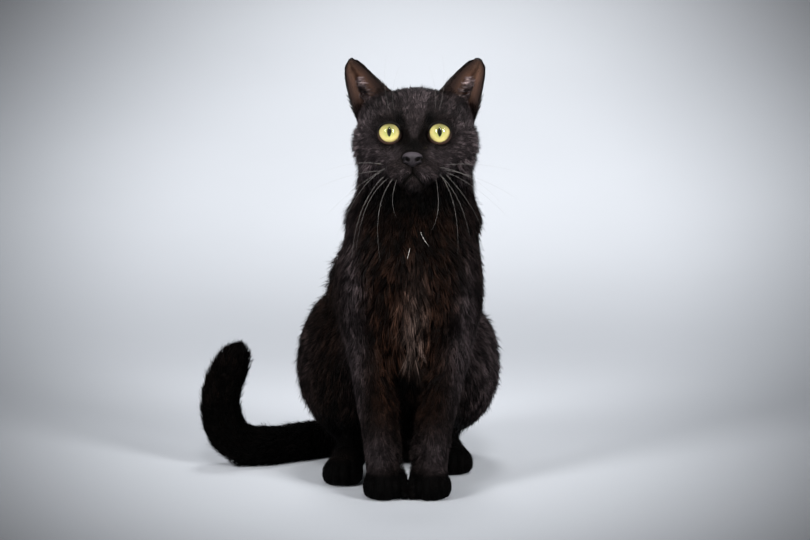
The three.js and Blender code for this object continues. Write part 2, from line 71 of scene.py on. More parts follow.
scene = bpy.context.scene
print("frame:", len(nodes), "nodes, box", [[round(c, 3) for c in corner] for corner in cad_box])

# %% [markdown]
# ## A plan in millimetres
#
# A maker measures a cat from its own middle line, in millimetres, and Blender works in metres from the
# middle of the whole model. The two eyes tell where the plan lies in the frame: every later measure is in
# the plan, and `row` takes it to Blender. The head has a frame of its own, turned two degrees, with -Y out
# of the face, so that what is done to one half of the face can be mirrored to the other.

# %% The plan and the head's frame
MM = 0.001
EYE_R = 11.0
EYE_SPOT = np.array([21.0, -28.0, 6.0])  # in the head's frame
HEAD_SPOT = np.array([3.0, -15.0, 300.0])
HEAD_TURN = math.radians(-2)
OFF_FLOOR = 0.15  # hair stays this far above the floor

turn = np.array(Matrix.Rotation(HEAD_TURN, 3, "Z"))
eye_boxes = [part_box("eye_right"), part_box("eye_left")]
eyes_middle = HEAD_SPOT + turn @ (EYE_SPOT * (0, 1, 1))
shift = np.array([
    sum(low[0] + high[0] for low, high in eye_boxes) / 4 / MM - eyes_middle[0],
    sum(high[1] for low, high in eye_boxes) / 2 / MM - EYE_R - eyes_middle[1],
    0.0,
])


def row(points):
    """Plan millimetres to Blender's metres."""
    return (np.asarray(points, float) + shift) * MM


def plan(points):
    """Blender's metres to plan millimetres."""
    return np.asarray(points, float) / MM - shift


def from_head(points):
    return np.asarray(points, float) @ turn.T + HEAD_SPOT


def in_head(points):
    return (np.asarray(points, float) - HEAD_SPOT) @ turn


def unit(v):
    return v / np.maximum(np.linalg.norm(v, axis=-1, keepdims=True), 1e-9)


def smooth(x):
    """0 below 0, 1 above 1, and an easy slope between."""
    x = np.clip(x, 0.0, 1.0)
    return x * x * (3 - 2 * x)


print("the plan's origin lies at", np.round(row([0, 0, 0]), 4))

# %% [markdown]
# ## Camera
#
# A portrait lens from a little above the cat's eyes: far enough back that the paws and the ears keep
# their true proportions. The camera comes early, so that each piece can be looked at as it is made.

# %% Camera
LENS = 85.0
CAMERA_SPOT = (-6.0, -1623.0, 340.0)
CAMERA_DOWN = math.radians(5.35)

camera_data = bpy.data.cameras.new("camera")
camera_data.lens = LENS
camera_data.sensor_width = 36.0
camera = bpy.data.objects.new("camera", camera_data)
camera.location = row(CAMERA_SPOT)
camera.rotation_euler = (math.pi / 2 - CAMERA_DOWN, 0, 0)
scene.collection.objects.link(camera)
scene.camera = camera
print("camera at", tuple(round(c, 3) for c in camera.location))

# %% [markdown]
# ## Helpers for meshes and materials
#
# Many thousand points are quicker to handle as tables of numbers than one by one. `make_mesh` writes such
# tables into a Blender mesh, and `tables` reads them back. Most made pieces are rings of points one after
# another, which `ring_faces` joins. `Paint` builds a material's nodes from short lines, so that each finish
# below reads like a recipe.

# %% Mesh helpers
def make_mesh(name, points, faces, material=None):
    """A piece from plan points and faces that all have the same number of corners."""
    mesh = bpy.data.meshes.new(name)
    faces = np.asarray(faces)
    count, corners = faces.shape
    mesh.vertices.add(len(points))
    mesh.vertices.foreach_set("co", row(points).astype(np.float32).ravel())
    mesh.loops.add(count * corners)
    mesh.loops.foreach_set("vertex_index", faces.astype(np.int32).ravel())
    mesh.polygons.add(count)
    mesh.polygons.foreach_set("loop_start", np.arange(0, count * corners, corners, dtype=np.int32))
    mesh.polygons.foreach_set("use_smooth", np.ones(count, bool))
    mesh.update(calc_edges=True)
    piece = bpy.data.objects.new(name, mesh)
    scene.collection.objects.link(piece)
    if material:
        mesh.materials.append(material)
    return piece


def ring_faces(rings, sides, closed=False):
    """Triangles between rings of points; `closed` also joins the last ring to the first."""
    faces = []
    for k in range(rings if closed else rings - 1):
        for j in range(sides):
            a, b = k * sides + j, k * sides + (j + 1) % sides
            c, d = (k + 1) % rings * sides + j, (k + 1) % rings * sides + (j + 1) % sides
            faces += [(a, b, d), (a, d, c)]
    return faces


def turn_outward(piece):
    work = bmesh.new()
    work.from_mesh(piece.data)
    bmesh.ops.recalc_face_normals(work, faces=work.faces)
    work.to_mesh(piece.data)
    work.free()


print("three rings of four points:", len(ring_faces(3, 4)), "triangles")


# %% Tables of points
def tables(mesh):
    """The points in plan millimetres, and the triangles' corners."""
    mesh.calc_loop_triangles()
    points = np.empty(len(mesh.vertices) * 3, np.float32)
    mesh.vertices.foreach_get("co", points)
    corners = np.empty(len(mesh.loop_triangles) * 3, np.int32)
    mesh.loop_triangles.foreach_get("vertices", corners)
    return plan(points.reshape(-1, 3)), corners.reshape(-1, 3)


def set_values(mesh, name, values):
    """One number for each point, for a material to read."""
    layer = mesh.attributes.new(name, "FLOAT", "POINT")
    layer.data.foreach_set("value", np.asarray(values, np.float32))


def point_normals(points, triangles):
    a, b, c = (points[triangles[:, i]] for i in range(3))
    across = np.cross(b - a, c - a)
    normals = np.zeros_like(points)
    for corner in range(3):
        for axis in range(3):
            normals[:, axis] += np.bincount(triangles[:, corner], across[:, axis], len(points))
    return unit(normals)


def ease(points, edges, share, rounds):
    """Moves each point towards the middle of its neighbours, by share, some rounds over."""
    a, b = edges[:, 0], edges[:, 1]
    degree = np.maximum(np.bincount(a, minlength=len(points)) + np.bincount(b, minlength=len(points)), 1)
    share = np.broadcast_to(share, (len(points),))
    for _ in range(rounds):
        middle = np.empty_like(points)
        for axis in range(3):
            total = np.bincount(a, points[b, axis], len(points))
            total += np.bincount(b, points[a, axis], len(points))
            middle[:, axis] = total / degree
        points = points + (middle - points) * share[:, None]
    return points


def mesh_edges(mesh):
    edges = np.empty(len(mesh.edges) * 2, np.int32)
    mesh.edges.foreach_get("vertices", edges)
    return edges.reshape(-1, 2)


def wander(points, scale, seed):
    """A soft random wave through space, about -1 to 1, whose hills are `scale` millimetres wide."""
    draw = np.random.default_rng(seed)
    waves = draw.normal(size=(7, 3)) * 1.6 / scale
    return np.sin(points @ waves.T + draw.uniform(0, 2 * math.pi, 7)).sum(axis=1) / 2.6


print("the head's solid:", len(tables(nodes["head"].data)[1]), "triangles")


# %% From solids to one net
def swollen(name, swell):
    """A solid's points, joined where its facets meet and moved out by swell, and its triangles."""
    points, triangles = tables(nodes[name].data)
    points, back = np.unique(np.round(points, 3), axis=0, return_inverse=True)
    triangles = back.reshape(-1)[triangles]
    return points + point_normals(points, triangles) * swell, triangles


def net_round(points, triangles, size):
    """One even net of squares, `size` millimetres wide, wrapped round everything given."""
    lump = make_mesh("lump", points, triangles)
    remesh = lump.modifiers.new("net", "REMESH")
    remesh.mode = "VOXEL"
    remesh.voxel_size = size * MM
    net = bpy.data.meshes.new_from_object(lump.evaluated_get(bpy.context.evaluated_depsgraph_get()))
    bpy.data.objects.remove(lump)
    return net


print("the nose's solid, its facets joined:", len(swollen("nose", 0.0)[0]), "points")


# %% Material helper
class Paint:
    """A material whose nodes are added line by line: p.add(kind, {input: value or socket}, setting=...)."""

    def __init__(self, name, **principled):
        self.material = bpy.data.materials.new(name)
        self.material.use_nodes = True
        self.tree = self.material.node_tree
        self.shader = self.tree.nodes["Principled BSDF"]
        for socket, value in principled.items():
            self.set(self.shader, socket.replace("_", " "), value)

    def set(self, node, socket, value):
        target = node.inputs[socket]
        if hasattr(value, "links"):
            self.tree.links.new(value, target)
        else:
            target.default_value = value

    def add(self, kind, inputs=None, out=0, **settings):
        node = self.tree.nodes.new(kind)
        for key, value in settings.items():
            setattr(node, key, value)
        for socket, value in (inputs or {}).items():
            self.set(node, socket, value)
        return node.outputs[out]

    def value(self, name):
        return self.add("ShaderNodeAttribute", attribute_name=name, out="Fac")

    def place(self):
        return self.add("ShaderNodeTexCoord", out="Object")

    def maths(self, operation, a, b=0.5, c=0.5):
        return self.add("ShaderNodeMath", {0: a, 1: b, 2: c}, operation=operation)

    def mix(self, share, a, b):
        node = self.tree.nodes.new("ShaderNodeMix")
        node.data_type = "RGBA"
        self.set(node, 0, share)
        for socket, value in ((6, a), (7, b)):
            self.set(node, socket, value)
        return node.outputs[2]

    def ramp(self, share, *stops):
        node = self.tree.nodes.new("ShaderNodeValToRGB")
        self.set(node, 0, share)
        elements = node.color_ramp.elements
        while len(elements) < len(stops):
            elements.new(0.5)
        for element, (spot, colour) in zip(elements, stops):
            element.position = spot
            element.color = colour
        return node.outputs[0]

    def noise(self, scale, detail=3.0):
        inputs = {"Vector": self.place(), "Scale": scale, "Detail": detail, "Roughness": 0.55}
        return self.add("ShaderNodeTexNoise", inputs, out="Fac")

    def bump(self, height, strength, distance):
        inputs = {"Height": height, "Strength": strength, "Distance": distance}
        self.set(self.shader, "Normal", self.add("ShaderNodeBump", inputs))


def rgb(text):
    """A colour as a painter writes it, 'c8a43b', in the linear numbers that Blender mixes."""
    parts = [int(text[i:i + 2], 16) / 255 for i in (0, 2, 4)]
    return (*(c / 12.92 if c <= 0.04045 else ((c + 0.055) / 1.055) ** 2.4 for c in parts), 1.0)


def grey(value):
    """A plain number from 0 to 1 as a colour, for a mask."""
    return (value, value, value, 1.0)


print("a rusty black in Blender's numbers:", [round(part, 3) for part in rgb("341f14")])

# %% [markdown]
# ## How the coat lies
#
# A cat's hair doesn't grow at random: it streams up from the nose over the forehead, back over the cheeks,
# down the breast and the legs, backwards over the flanks and along the tail. A groomer could draw that
# stream with two hundred strokes of a comb. Each stroke below has a place, a direction and what the hair
# is like there: how long it is, how far it stands off the skin, and how closely the tufts are set. Between
# the strokes everything is blended, so short tables of numbers comb the whole cat.

# %% Comb strokes
STROKES = []  # place, direction, (length, lift in degrees, spacing, width), region


def stroke(region, place, way, length, lift=20, spacing=1.6, width=0.8, mirror=None, reach=1.0):
    """One stroke in the plan. `mirror` is the middle line's x when the other side has it too."""
    STROKES.append((place, way, (length, lift, spacing, width), region, reach))
    if mirror is not None:
        x, y, z = place
        other = (2 * mirror - x, y, z)
        STROKES.append((other, (-way[0], way[1], way[2]), (length, lift, spacing, width), region, reach))


def head_stroke(region, place, way, length, lift=16, spacing=0.6, width=0.34, reach=0.3):
    """One stroke in the head's frame, and its mirror."""
    for side in (1, -1):
        flip = np.array([side, 1, 1])
        spot = from_head(np.array(place) * flip)
        heading = turn @ (np.array(way) * flip)
        STROKES.append((spot, heading, (length, lift, spacing, width), region, reach))


def strokes(region, table, **hair):
    """A table of place, way, length and the mirror's x or None, for strokes that share their hair."""
    for place, way, length, mirror in table:
        stroke(region, place, way, length, mirror=mirror, **hair)


for place, way, length in (
    ((0, -53, -4), (0, 0.45, 0.9), 1.6),
    ((3, -44, 6), (0.05, 0.5, 0.85), 2.4),
    ((4, -34, 22), (0.08, 0.5, 0.85), 4.0),
    ((12, -38, 8), (0.35, 0.3, 0.85), 2.4),
    ((20, -36, 20), (0.3, 0.3, 0.9), 3.4),
    ((32, -30, 14), (0.6, 0.35, 0.7), 3.2),
    ((12, -42, -5), (0.5, 0.5, -0.2), 2.2),
    ((24, -38, -8), (0.8, 0.5, -0.25), 3.0),
    ((36, -26, -4), (0.7, 0.7, -0.2), 5.0),
    ((9, -57, -20), (0.75, 0.2, -0.6), 1.8),
    ((20, -48, -22), (0.8, 0.5, -0.4), 2.8),
    ((28, -36, -26), (0.65, 0.65, -0.45), 4.5),
    ((5, -52, -38), (0.3, 0.2, -0.95), 2.8),
):
    head_stroke("coat_face", place, way, length)
print("comb strokes on the face:", len(STROKES))

# %% Strokes of the crown and the cheeks
CROWN = dict(spacing=0.85, width=0.45)
for place, way, length in (
    ((6, -22, 36), (0.1, 0.75, 0.55), 5.5),
    ((24, -12, 38), (0.35, 0.55, 0.75), 5.5),
    ((6, 4, 44), (0.05, 1, 0.0), 7.5),
    ((8, 36, 34), (0.05, 0.75, -0.65), 9.5),
    ((42, -10, 18), (0.35, 0.4, 0.85), 4.5),
    ((20, -30, -46), (0.35, 0.4, -0.85), 7.5),
    ((4, -38, -52), (0.1, 0.4, -0.9), 7.0),
    ((40, 26, 12), (0.15, 0.75, -0.6), 9.5),
):
    head_stroke("coat_crown", place, way, length * 1.1, lift=28, **CROWN)
for place, way, length in (  # the cheeks are fuller, and long hair runs up into the ears
    ((33, -5, 37), (0.55, 0.1, 0.8), 9.0),
    ((44, -4, 22), (0.75, 0.1, 0.6), 9.0),
    ((46, -8, -2), (0.5, 0.8, -0.2), 8.5),
    ((50, 6, -12), (0.4, 0.8, -0.5), 10.5),
    ((42, -12, -24), (0.55, 0.55, -0.65), 9.5),
):
    head_stroke("coat_crown", place, way, length, lift=42, **CROWN)
print("on the whole head:", len(STROKES))

# %% Strokes of the neck, the breast and the back
strokes("coat_neck", (
    ((14, -44, 246), (0.15, -0.05, -1), 12, 2),
    ((40, -30, 240), (0.3, 0.15, -0.95), 12, 2),
    ((56, 4, 238), (0.1, 0.3, -0.95), 12, 2),
    ((38, 42, 240), (0.1, 0.4, -0.9), 12, 2),
    ((8, 54, 246), (0, 0.35, -0.95), 12, 2),
), lift=27, spacing=1.35, width=0.75)

strokes("coat_breast", (
    ((8, -47, 215), (0.25, -0.05, -1), 16, 0),
    ((32, -40, 208), (0.6, 0.05, -0.8), 15, 0),
    ((9, -46, 185), (0.2, -0.1, -1), 19, 0),
    ((30, -36, 178), (0.3, -0.05, -0.95), 15, 0),
    ((7, -40, 150), (-0.05, -0.12, -1), 22, 0),
    ((6, -34, 122), (-0.16, -0.1, -1), 27, -2),
    ((5, -18, 108), (-0.12, -0.12, -1), 27, -2),
), lift=25, spacing=1.5, width=0.95)

strokes("coat_back", (
    ((54, 20, 205), (0.05, 0.4, -0.9), 12, -1),
    ((0, 62, 212), (0, 0.5, -0.85), 13, -2),
    ((34, 72, 196), (0.1, 0.5, -0.85), 13, -4),
    ((56, 52, 165), (0.05, 0.5, -0.85), 13, -6),
    ((8, 118, 178), (0, 0.6, -0.8), 14, -10),
    ((50, 100, 160), (0.15, 0.55, -0.8), 14, -14),
    ((2, 160, 128), (0, 0.35, -0.95), 15, -16),
    ((4, 190, 80), (0, 0.1, -1), 15, -16),
    ((20, 190, 40), (0.3, 0.1, -0.9), 14, -16),
    ((10, 30, 90), (0, 0.2, -0.95), 12, -8),
), lift=27, spacing=1.8, width=1.0)
stroke("coat_back", (2, 50, 32), (0, -0.3, -0.95), 15, mirror=-6, lift=30, spacing=1.6, width=1.0, reach=0.6)
strokes("coat_back", (  # longer hair where the flanks run into the haunches
    ((-68, 50, 176), (-0.25, 0.3, -0.9), 19, None),
    ((-64, 45, 200), (-0.25, 0.3, -0.9), 14, None),
    ((58, 55, 150), (0.35, 0.2, -0.9), 22, None),
), lift=42, spacing=1.7, width=0.9, reach=0.7)
print("with neck, breast and back:", len(STROKES))

# %% Strokes of the legs and the feet
LEG = dict(mirror=-4, lift=22, spacing=1.08, width=0.62)
for z, length in ((176, 11), (150, 10), (122, 9), (92, 7.5), (64, 6), (44, 5)):
    out = 24 + (z - 40) * 0.2  # the legs stand closer together below; strokes on the side, front and back
    stroke("coat_foreleg", (out + 16, -14 - (150 - z) * 0.05, z), (0, 0.12, -1), length, **LEG)
    stroke("coat_foreleg", (out * 0.9, -40, z), (0.04, -0.05, -1), length, reach=0.7, **LEG)
    stroke("coat_foreleg", (out * 0.9, -2, z), (0, 0.15, -1), length, reach=0.7, **LEG)

for side, (x, y, z) in ((-1, (-62.5, 94, 95)), (1, (41, 107, 93))):  # the middles of the haunches
    for (out, ahead, above), (aside, back, down), length in (
        ((34, -10, 40), (0.2, 0.35, -0.9), 13),
        ((42, 0, 0), (0.12, 0.4, -0.9), 14),
        ((30, -46, 10), (0.3, 0.1, -0.95), 13),
        ((6, -64, 0), (0.1, -0.1, -1), 11),
        ((30, 50, 0), (0.1, 0.5, -0.85), 14),
        ((34, 0, -40), (0.1, 0.3, -0.95), 13 - side * 3),
        ((20, -40, -40), (0.15, 0.0, -1), 10),
        ((14, 40, -56), (0, 0.3, -0.9), 10),
    ):
        stroke("coat_haunch", (x + side * out, y + ahead, z + above), (side * aside, back, down), length,
               lift=31, spacing=1.65, width=0.95)

FEET = dict(lift=22, spacing=0.88, width=0.5, reach=0.35)
for side, x in ((-1, -22.8), (1, 14.4)):  # the middles of the forepaws
    stroke("coat_feet", (x, -42, 26), (0, -0.9, -0.4), 2.6, **FEET)
    stroke("coat_feet", (x, -62, 14), (0, -0.6, -0.8), 1.8, **FEET)
    stroke("coat_feet", (x + side * 16, -40, 14), (side * 0.1, -0.9, -0.3), 2.4, **FEET)
    for y in (-30, -46):  # on the inner side hair stands off, to meet the other paw's
        stroke("coat_feet", (x - side * 17, y, 14), (-side * 0.3, -0.7, -0.5), 4.6, lift=66, spacing=0.85,
               width=0.5, reach=0.35)
    for z in (30, 46):
        stroke("coat_foreleg", (x - side * 14, -32, z), (-side * 0.3, -0.1, -0.95), 11, lift=58, spacing=1.0,
               width=0.6, reach=0.65)
for side, toe, heel in ((-1, (-61.5, -7), (-52, 108)), (1, (39.5, 41), (26, 148))):  # the hind feet
    way = (toe[0] - heel[0], toe[1] - heel[1], -20)
    for share in (0.02, 0.3, 0.6, 0.95):
        x, y = (toe[i] + (heel[i] - toe[i]) * share for i in (0, 1))
        stroke("coat_feet", (x, y, 22), way, 2.2 + 3 * share, **FEET)
        for aside in (side * 14, -side * 14):
            stroke("coat_feet", (x + aside, y, 12), way, 2.0 + 3 * share, **FEET)
print("with legs and feet:", len(STROKES))

# %% Strokes of the tail, and the comb
TAIL_LINE = np.array([
    (-22, 174, 34), (-38, 180, 19), (-66, 162, 16), (-98, 132, 16), (-132, 105, 16),
    (-158, 97, 20), (-171, 95, 38), (-173.5, 95, 62), (-168, 95, 83), (-159, 94, 104),
], float)
TAIL = dict(lift=30, spacing=1.3, width=0.8, reach=0.8)
for spot, heading in zip(TAIL_LINE, np.gradient(TAIL_LINE, axis=0)):
    stroke("coat_tail", tuple(spot), tuple(heading), 11, **TAIL)

PLACES = np.array([s[0] for s in STROKES], float)
WAYS = unit(np.array([s[1] for s in STROKES], float))
HAIR = np.array([s[2] for s in STROKES], float)
REGIONS = [s[3] for s in STROKES]
REACH = np.array([s[4] for s in STROKES], float)
STROKE_WIDTH = 26.0  # how far a stroke of reach 1 is felt, in millimetres
print("comb strokes:", len(STROKES), "in", len(set(REGIONS)), "regions")


def comb(points):
    """The stream, the hair's (length, lift, spacing, width) and the nearest stroke, at each point."""
    way = np.empty_like(points)
    hair = np.empty((len(points), HAIR.shape[1]))
    nearest = np.empty(len(points), int)
    for start in range(0, len(points), 20000):
        part = slice(start, start + 20000)
        away = ((points[part, None, :] - PLACES[None]) ** 2).sum(axis=2) / (STROKE_WIDTH * REACH) ** 2
        nearest[part] = away.argmin(axis=1)
        weight = np.exp(-(away - away.min(axis=1, keepdims=True)) * 1.5)
        weight /= weight.sum(axis=1, keepdims=True)
        way[part] = weight @ WAYS
        hair[part] = weight @ HAIR
    return unit(way), hair, nearest


# %% [markdown]
# ## Skin
#
# Under the coat lies one skin, with no seam from nose to tail. The solids of the flesh are swollen by half
# a millimetre, so that the thin gaps between them close, and the Remesh modifier in Voxel mode then wraps
# one even net of squares round them all. That is the quickest way to one closed surface, and it costs the
# small forms of the face, so the net is split finer there, and the lids, lips and the line of the mouth
# are pressed into it afterwards, by measure.

# %% Part the forepaws
BETWEEN_PAWS = -4.2  # the two forepaws touch here
PAW_GAP = 3.4  # each is moved aside by this while the net is wrapped, so that it doesn't join them
PAW_SOFT = 12.0  # how far from the middle the moving reaches
WRIST = 48.0  # the gap fades above this height
WRIST_FADE = 24.0
BEHIND_PAWS = 8.0


def gap_at(points):
    """The forepaws' gap at each point: full at the floor, none above the wrists."""
    near_paws = (points[:, 1] < BEHIND_PAWS) * (1 - smooth((points[:, 2] - WRIST) / WRIST_FADE))
    return PAW_GAP * near_paws


def part_paws(points, side):
    """Moves a foreleg's inner side away from the middle."""
    inward = (points[:, 0] - BETWEEN_PAWS) * side
    moved = np.where(inward < PAW_SOFT, inward + gap_at(points) * (1 - inward / PAW_SOFT), inward)
    return np.column_stack([BETWEEN_PAWS + moved * side, points[:, 1:]])


def close_paws(points):
    """The way back, for both forelegs at once."""
    away = points[:, 0] - BETWEEN_PAWS
    gap = gap_at(points)
    inward = np.abs(away)
    closed = np.maximum((inward - gap) / (1 - gap / PAW_SOFT), 0.1)
    moved = np.where((inward < PAW_SOFT) & (gap > 0), closed, inward)
    return np.column_stack([BETWEEN_PAWS + moved * np.sign(away), points[:, 1:]])


print("each forepaw is moved aside by", float(gap_at(np.zeros((1, 3)))[0]), "mm at the floor")

# %% Wrap the flesh in one net
FLESH = [name for name in nodes if not name.startswith("ear")]
SWELL = 0.5
NET = 2.7  # the net's squares, in millimetres
flesh_points, flesh_faces, start = [], [], 0
for name in sorted(FLESH):
    solid, triangles = swollen(name, SWELL)
    if name.startswith("fore"):
        solid = part_paws(solid, -1 if name.endswith("right") else 1)
    flesh_points.append(solid)
    flesh_faces.append(triangles + start)
    start += len(solid)
skin_mesh = net_round(np.vstack(flesh_points), np.vstack(flesh_faces), NET)
net = bmesh.new()
net.from_mesh(skin_mesh)
print("the net:", len(net.faces), "squares")


# %% Split the net where the forms are small
def split(net, wanted):
    """Splits each square in two both ways where wanted(points) is true."""
    chosen = wanted(plan(np.array([f.calc_center_median() for f in net.faces])))
    edges = {e for f, take in zip(net.faces, chosen) if take for e in f.edges}
    bmesh.ops.subdivide_edges(net, edges=list(edges), cuts=1, use_grid_fill=True)


def on_face(points):
    p = in_head(points)
    return (p[:, 1] < -6) & (p[:, 2] > -58) & (p[:, 2] < 42) & (np.abs(p[:, 0]) < 52)


def on_features(points):
    p = in_head(points)
    muzzle = (p[:, 1] < -36) & (p[:, 2] < 0) & (np.abs(p[:, 0]) < 26)
    to_eye = np.linalg.norm(np.abs(p) * (1, 0, 0) + p * (0, 1, 1) - EYE_SPOT, axis=1)
    return (to_eye < 21) & (p[:, 1] < -24) | muzzle


PAWS = (  # the middle of each paw, its turn in degrees and how far its toes reach
    (-22.8, -27.0, -2.0, 38.0), (14.4, -27.0, 2.0, 38.0),
    (-58.5, 28.9, -4.7, 36.0), (35.0, 76.7, 7.2, 36.0),
)
TOE_GAPS = np.array([-0.67, 0.0, 0.67]) * 12.4


def in_paw(points, paw):
    """Points in a paw's own frame: aside, forwards (the toes point along -Y) and up."""
    x, y, turned_by, _ = paw
    c, s = math.cos(math.radians(turned_by)), math.sin(math.radians(turned_by))
    dx, dy = points[:, 0] - x, points[:, 1] - y
    return np.column_stack([c * dx + s * dy, c * dy - s * dx, points[:, 2]])


def on_toes(points):
    chosen = np.zeros(len(points), bool)
    for paw in PAWS:
        p = in_paw(points, paw)
        ahead = (p[:, 1] < 10 - paw[3] * 0.5) & (p[:, 1] > -paw[3] - 12)
        chosen |= ahead & (np.abs(p[:, 0]) < 22) & (p[:, 2] < 26)
    return chosen


split(net, on_face)
split(net, on_features)
split(net, on_toes)
skin_mesh.name = "skin"
net.to_mesh(skin_mesh)
net.free()
print("skin net:", len(skin_mesh.vertices), "points")

# %% [markdown]
# ## Pressing in the face
#
# The net now lies on the tips of the coat. It is eased, so that the flats of the solids go, and drawn
# inwards by the coat's depth, which is about a quarter of the hair's length, because the hair lies down.
# The toes are creased, and then the face is pressed in, in the head's own frame. The lids are made by angle
# round each eye: inside the opening the skin drops behind the eyeball, at the rim it stands a millimetre
# thick on the ball, and further out it runs into the face. The mouth is a narrow groove along a short line
# of points, down from the nose and out under each lip.

# %% Ease the net and draw it in
LIE_DEPTH = 0.27  # of the hair's length
CREASE = (1.9, 1.5)  # the depth and the half width of the crease between two toes
TOE_SWELL = 0.5  # and how far the toes themselves are raised
edges = mesh_edges(skin_mesh)
points, triangles = tables(skin_mesh)
face_share = smooth((-in_head(points)[:, 1] - 10) / 25) * (in_head(points)[:, 2] > -60)
points = ease(points, edges, 0.5, 6)
points = close_paws(points)
depth = comb(points)[1][:, 0] * LIE_DEPTH
points = points - point_normals(points, triangles) * depth[:, None]
points = ease(points, edges, 0.5 - 0.25 * face_share, 4)


def press_toes(points):
    """Four toes to a paw: a crease is pressed between each two, over the front of the paw."""
    inwards = np.zeros(len(points))
    for paw in PAWS:
        p = in_paw(points, paw)
        front = smooth((13 - paw[3] - p[:, 1]) / 10) * (p[:, 1] > -paw[3] - 8) * (np.abs(p[:, 0]) < 22)
        front *= smooth((p[:, 2] - 1) / 3) * (1 - smooth((p[:, 2] - 16) / 8))
        off = np.abs(p[:, :1] - TOE_GAPS).min(axis=1)
        inwards += front * (CREASE[0] * np.exp(-(off / CREASE[1]) ** 2) - TOE_SWELL)
    return points - point_normals(points, triangles) * inwards[:, None]


points = press_toes(points)
print("coat's depth:", round(depth.min(), 1), "to", round(depth.max(), 1), "mm")

# %% Lids
def aimed(outward, upward):
    """A direction out of the eye, in degrees from straight ahead; outward is away from the nose."""
    a, e = math.radians(outward), math.radians(upward)
    return np.array([math.sin(a) * math.cos(e), -math.cos(a) * math.cos(e), math.sin(e)])


GAZE = aimed(-2.4, 5.0)  # where the eye looks
LIDS_FACE = aimed(-3.0, -2.7)  # the middle of the lids' opening
TO_NOSE, TO_TEMPLE = math.radians(205), math.radians(14)  # where the opening runs out into corners
LID_R = 12.5  # how far the lids stand from the middle of the eye
RIM_WIDE = 8.0  # the width of their rim in degrees
FOLDED_BACK = 6.0  # the skin inside the opening is folded away to here, behind the eye's middle
RIM_UNDER = 3.5  # degrees of skin tucked under the rim of the lid
SOCKET_SLOPE = 1.5  # how steeply the face rises from the rim
SOCKET_CURVE = 0.4  # and how fast it gets steeper, so that the bridge of the nose keeps its height


def opening_at(around):
    """Half the lids' opening in degrees; around runs from the temple over the brow to the nose."""
    opening = 42.8 + 5.2 * np.cos(around) ** 2
    opening += 3.5 * np.maximum(0, np.cos(around - TO_NOSE)) ** 10
    return opening + 2 * np.maximum(0, np.cos(around - TO_TEMPLE)) ** 8


def eye_axes(sight):
    """Directions to the temple and to the brow, square to the line of sight."""
    temple = unit(np.cross(sight, (0, 0, -1)))
    return temple, np.cross(sight, temple)


def round_eye(points, side):
    """Degrees off the opening's middle and outside the opening, and the distance from the eye's middle."""
    away = in_head(points) * (side, 1, 1) - EYE_SPOT
    distance = np.linalg.norm(away, axis=1)
    off = np.degrees(np.arccos(np.clip(away @ LIDS_FACE / np.maximum(distance, 1e-6), -1, 1)))
    temple, brow = eye_axes(LIDS_FACE)
    around = np.arctan2(away @ brow, away @ temple)
    return off, off - opening_at(around), distance


def rim_spread(around):
    """How much wider the rim is towards the nose."""
    return 1 + 0.9 * np.maximum(0, np.cos(around - TO_NOSE)) ** 8


print("eye opening:", round(2 * EYE_R * math.sin(math.radians(float(opening_at(0)))), 1), "mm wide")


# %% Press in the lids
def press_lids(points, side):
    off, beyond, distance = round_eye(points, side)
    # Near the eye the skin is drawn towards the ball, and less so the further it lies outside the opening.
    near = 1 - smooth((distance - 15) / 8)
    target = LID_R + (distance - LID_R) * smooth((beyond - 4) / 30)
    away = in_head(points) * (side, 1, 1) - EYE_SPOT
    moved = away * (1 + near * (target / np.maximum(distance, 1e-6) - 1))[:, None]
    # It may not stand further forward than the slope that rises from the rim.
    temple, brow = eye_axes(LIDS_FACE)
    around = np.arctan2(moved @ brow, moved @ temple)
    rim = np.radians(opening_at(around) + RIM_WIDE * rim_spread(around))
    aside = np.hypot(moved @ brow, moved @ temple)
    from_rim = np.maximum(0, aside - LID_R * np.sin(rim))
    farthest = LID_R * np.cos(rim) + SOCKET_SLOPE * from_rim + SOCKET_CURVE * from_rim ** 2
    too_far = np.maximum(0, moved @ LIDS_FACE - farthest) * (aside < 20)
    moved = moved - LIDS_FACE * too_far[:, None]
    # Inside the opening it is folded away behind the ball.
    folded = away / np.maximum(distance, 1e-6)[:, None] * 2 - LIDS_FACE * FOLDED_BACK
    moved = np.where(((beyond < RIM_UNDER) & (distance < 20))[:, None], folded, moved)
    return from_head((EYE_SPOT + moved) * (side, 1, 1))


for side in (1, -1):
    points = press_lids(points, side)
face = in_head(points)
bridge = (np.abs(face[:, 0]) < 7.5) & (face[:, 2] > -7) & (face[:, 2] < 16) & (face[:, 1] < -30)
points = np.where(bridge[:, None], ease(points, edges, 0.5, 4), points)
print("the bridge of the nose is eased again:", int(bridge.sum()), "points")

# %% Mouth, nose bed and chin
LIP_LINE = np.array([(0, -19), (0, -27), (4, -30.5), (8.5, -36.5), (14, -39), (20, -36)], float)
LIP_DEEP, LIP_WIDE = 1.9, 0.95
NOSE_DROP = 1.2  # the leather sits a little lower than its solid
NOSE_ASIDE = -0.9  # and a little to one side, with the mouth under it
NOSE_HIGH = -13 - NOSE_DROP  # the height of its middle


def off_line(flat, line):
    """The distance of flat points from a line of points."""
    best = np.full(len(flat), 1e9)
    for a, b in zip(line[:-1], line[1:]):
        along = np.clip(((flat - a) @ (b - a)) / ((b - a) @ (b - a)), 0, 1)
        best = np.minimum(best, np.linalg.norm(flat - a - along[:, None] * (b - a), axis=1))
    return best


def half_face(h):
    """Distance from the middle of the mouth and height, both halves of the face laid on each other."""
    return np.stack([np.abs(h[:, 0] - NOSE_ASIDE), h[:, 2]], axis=1)


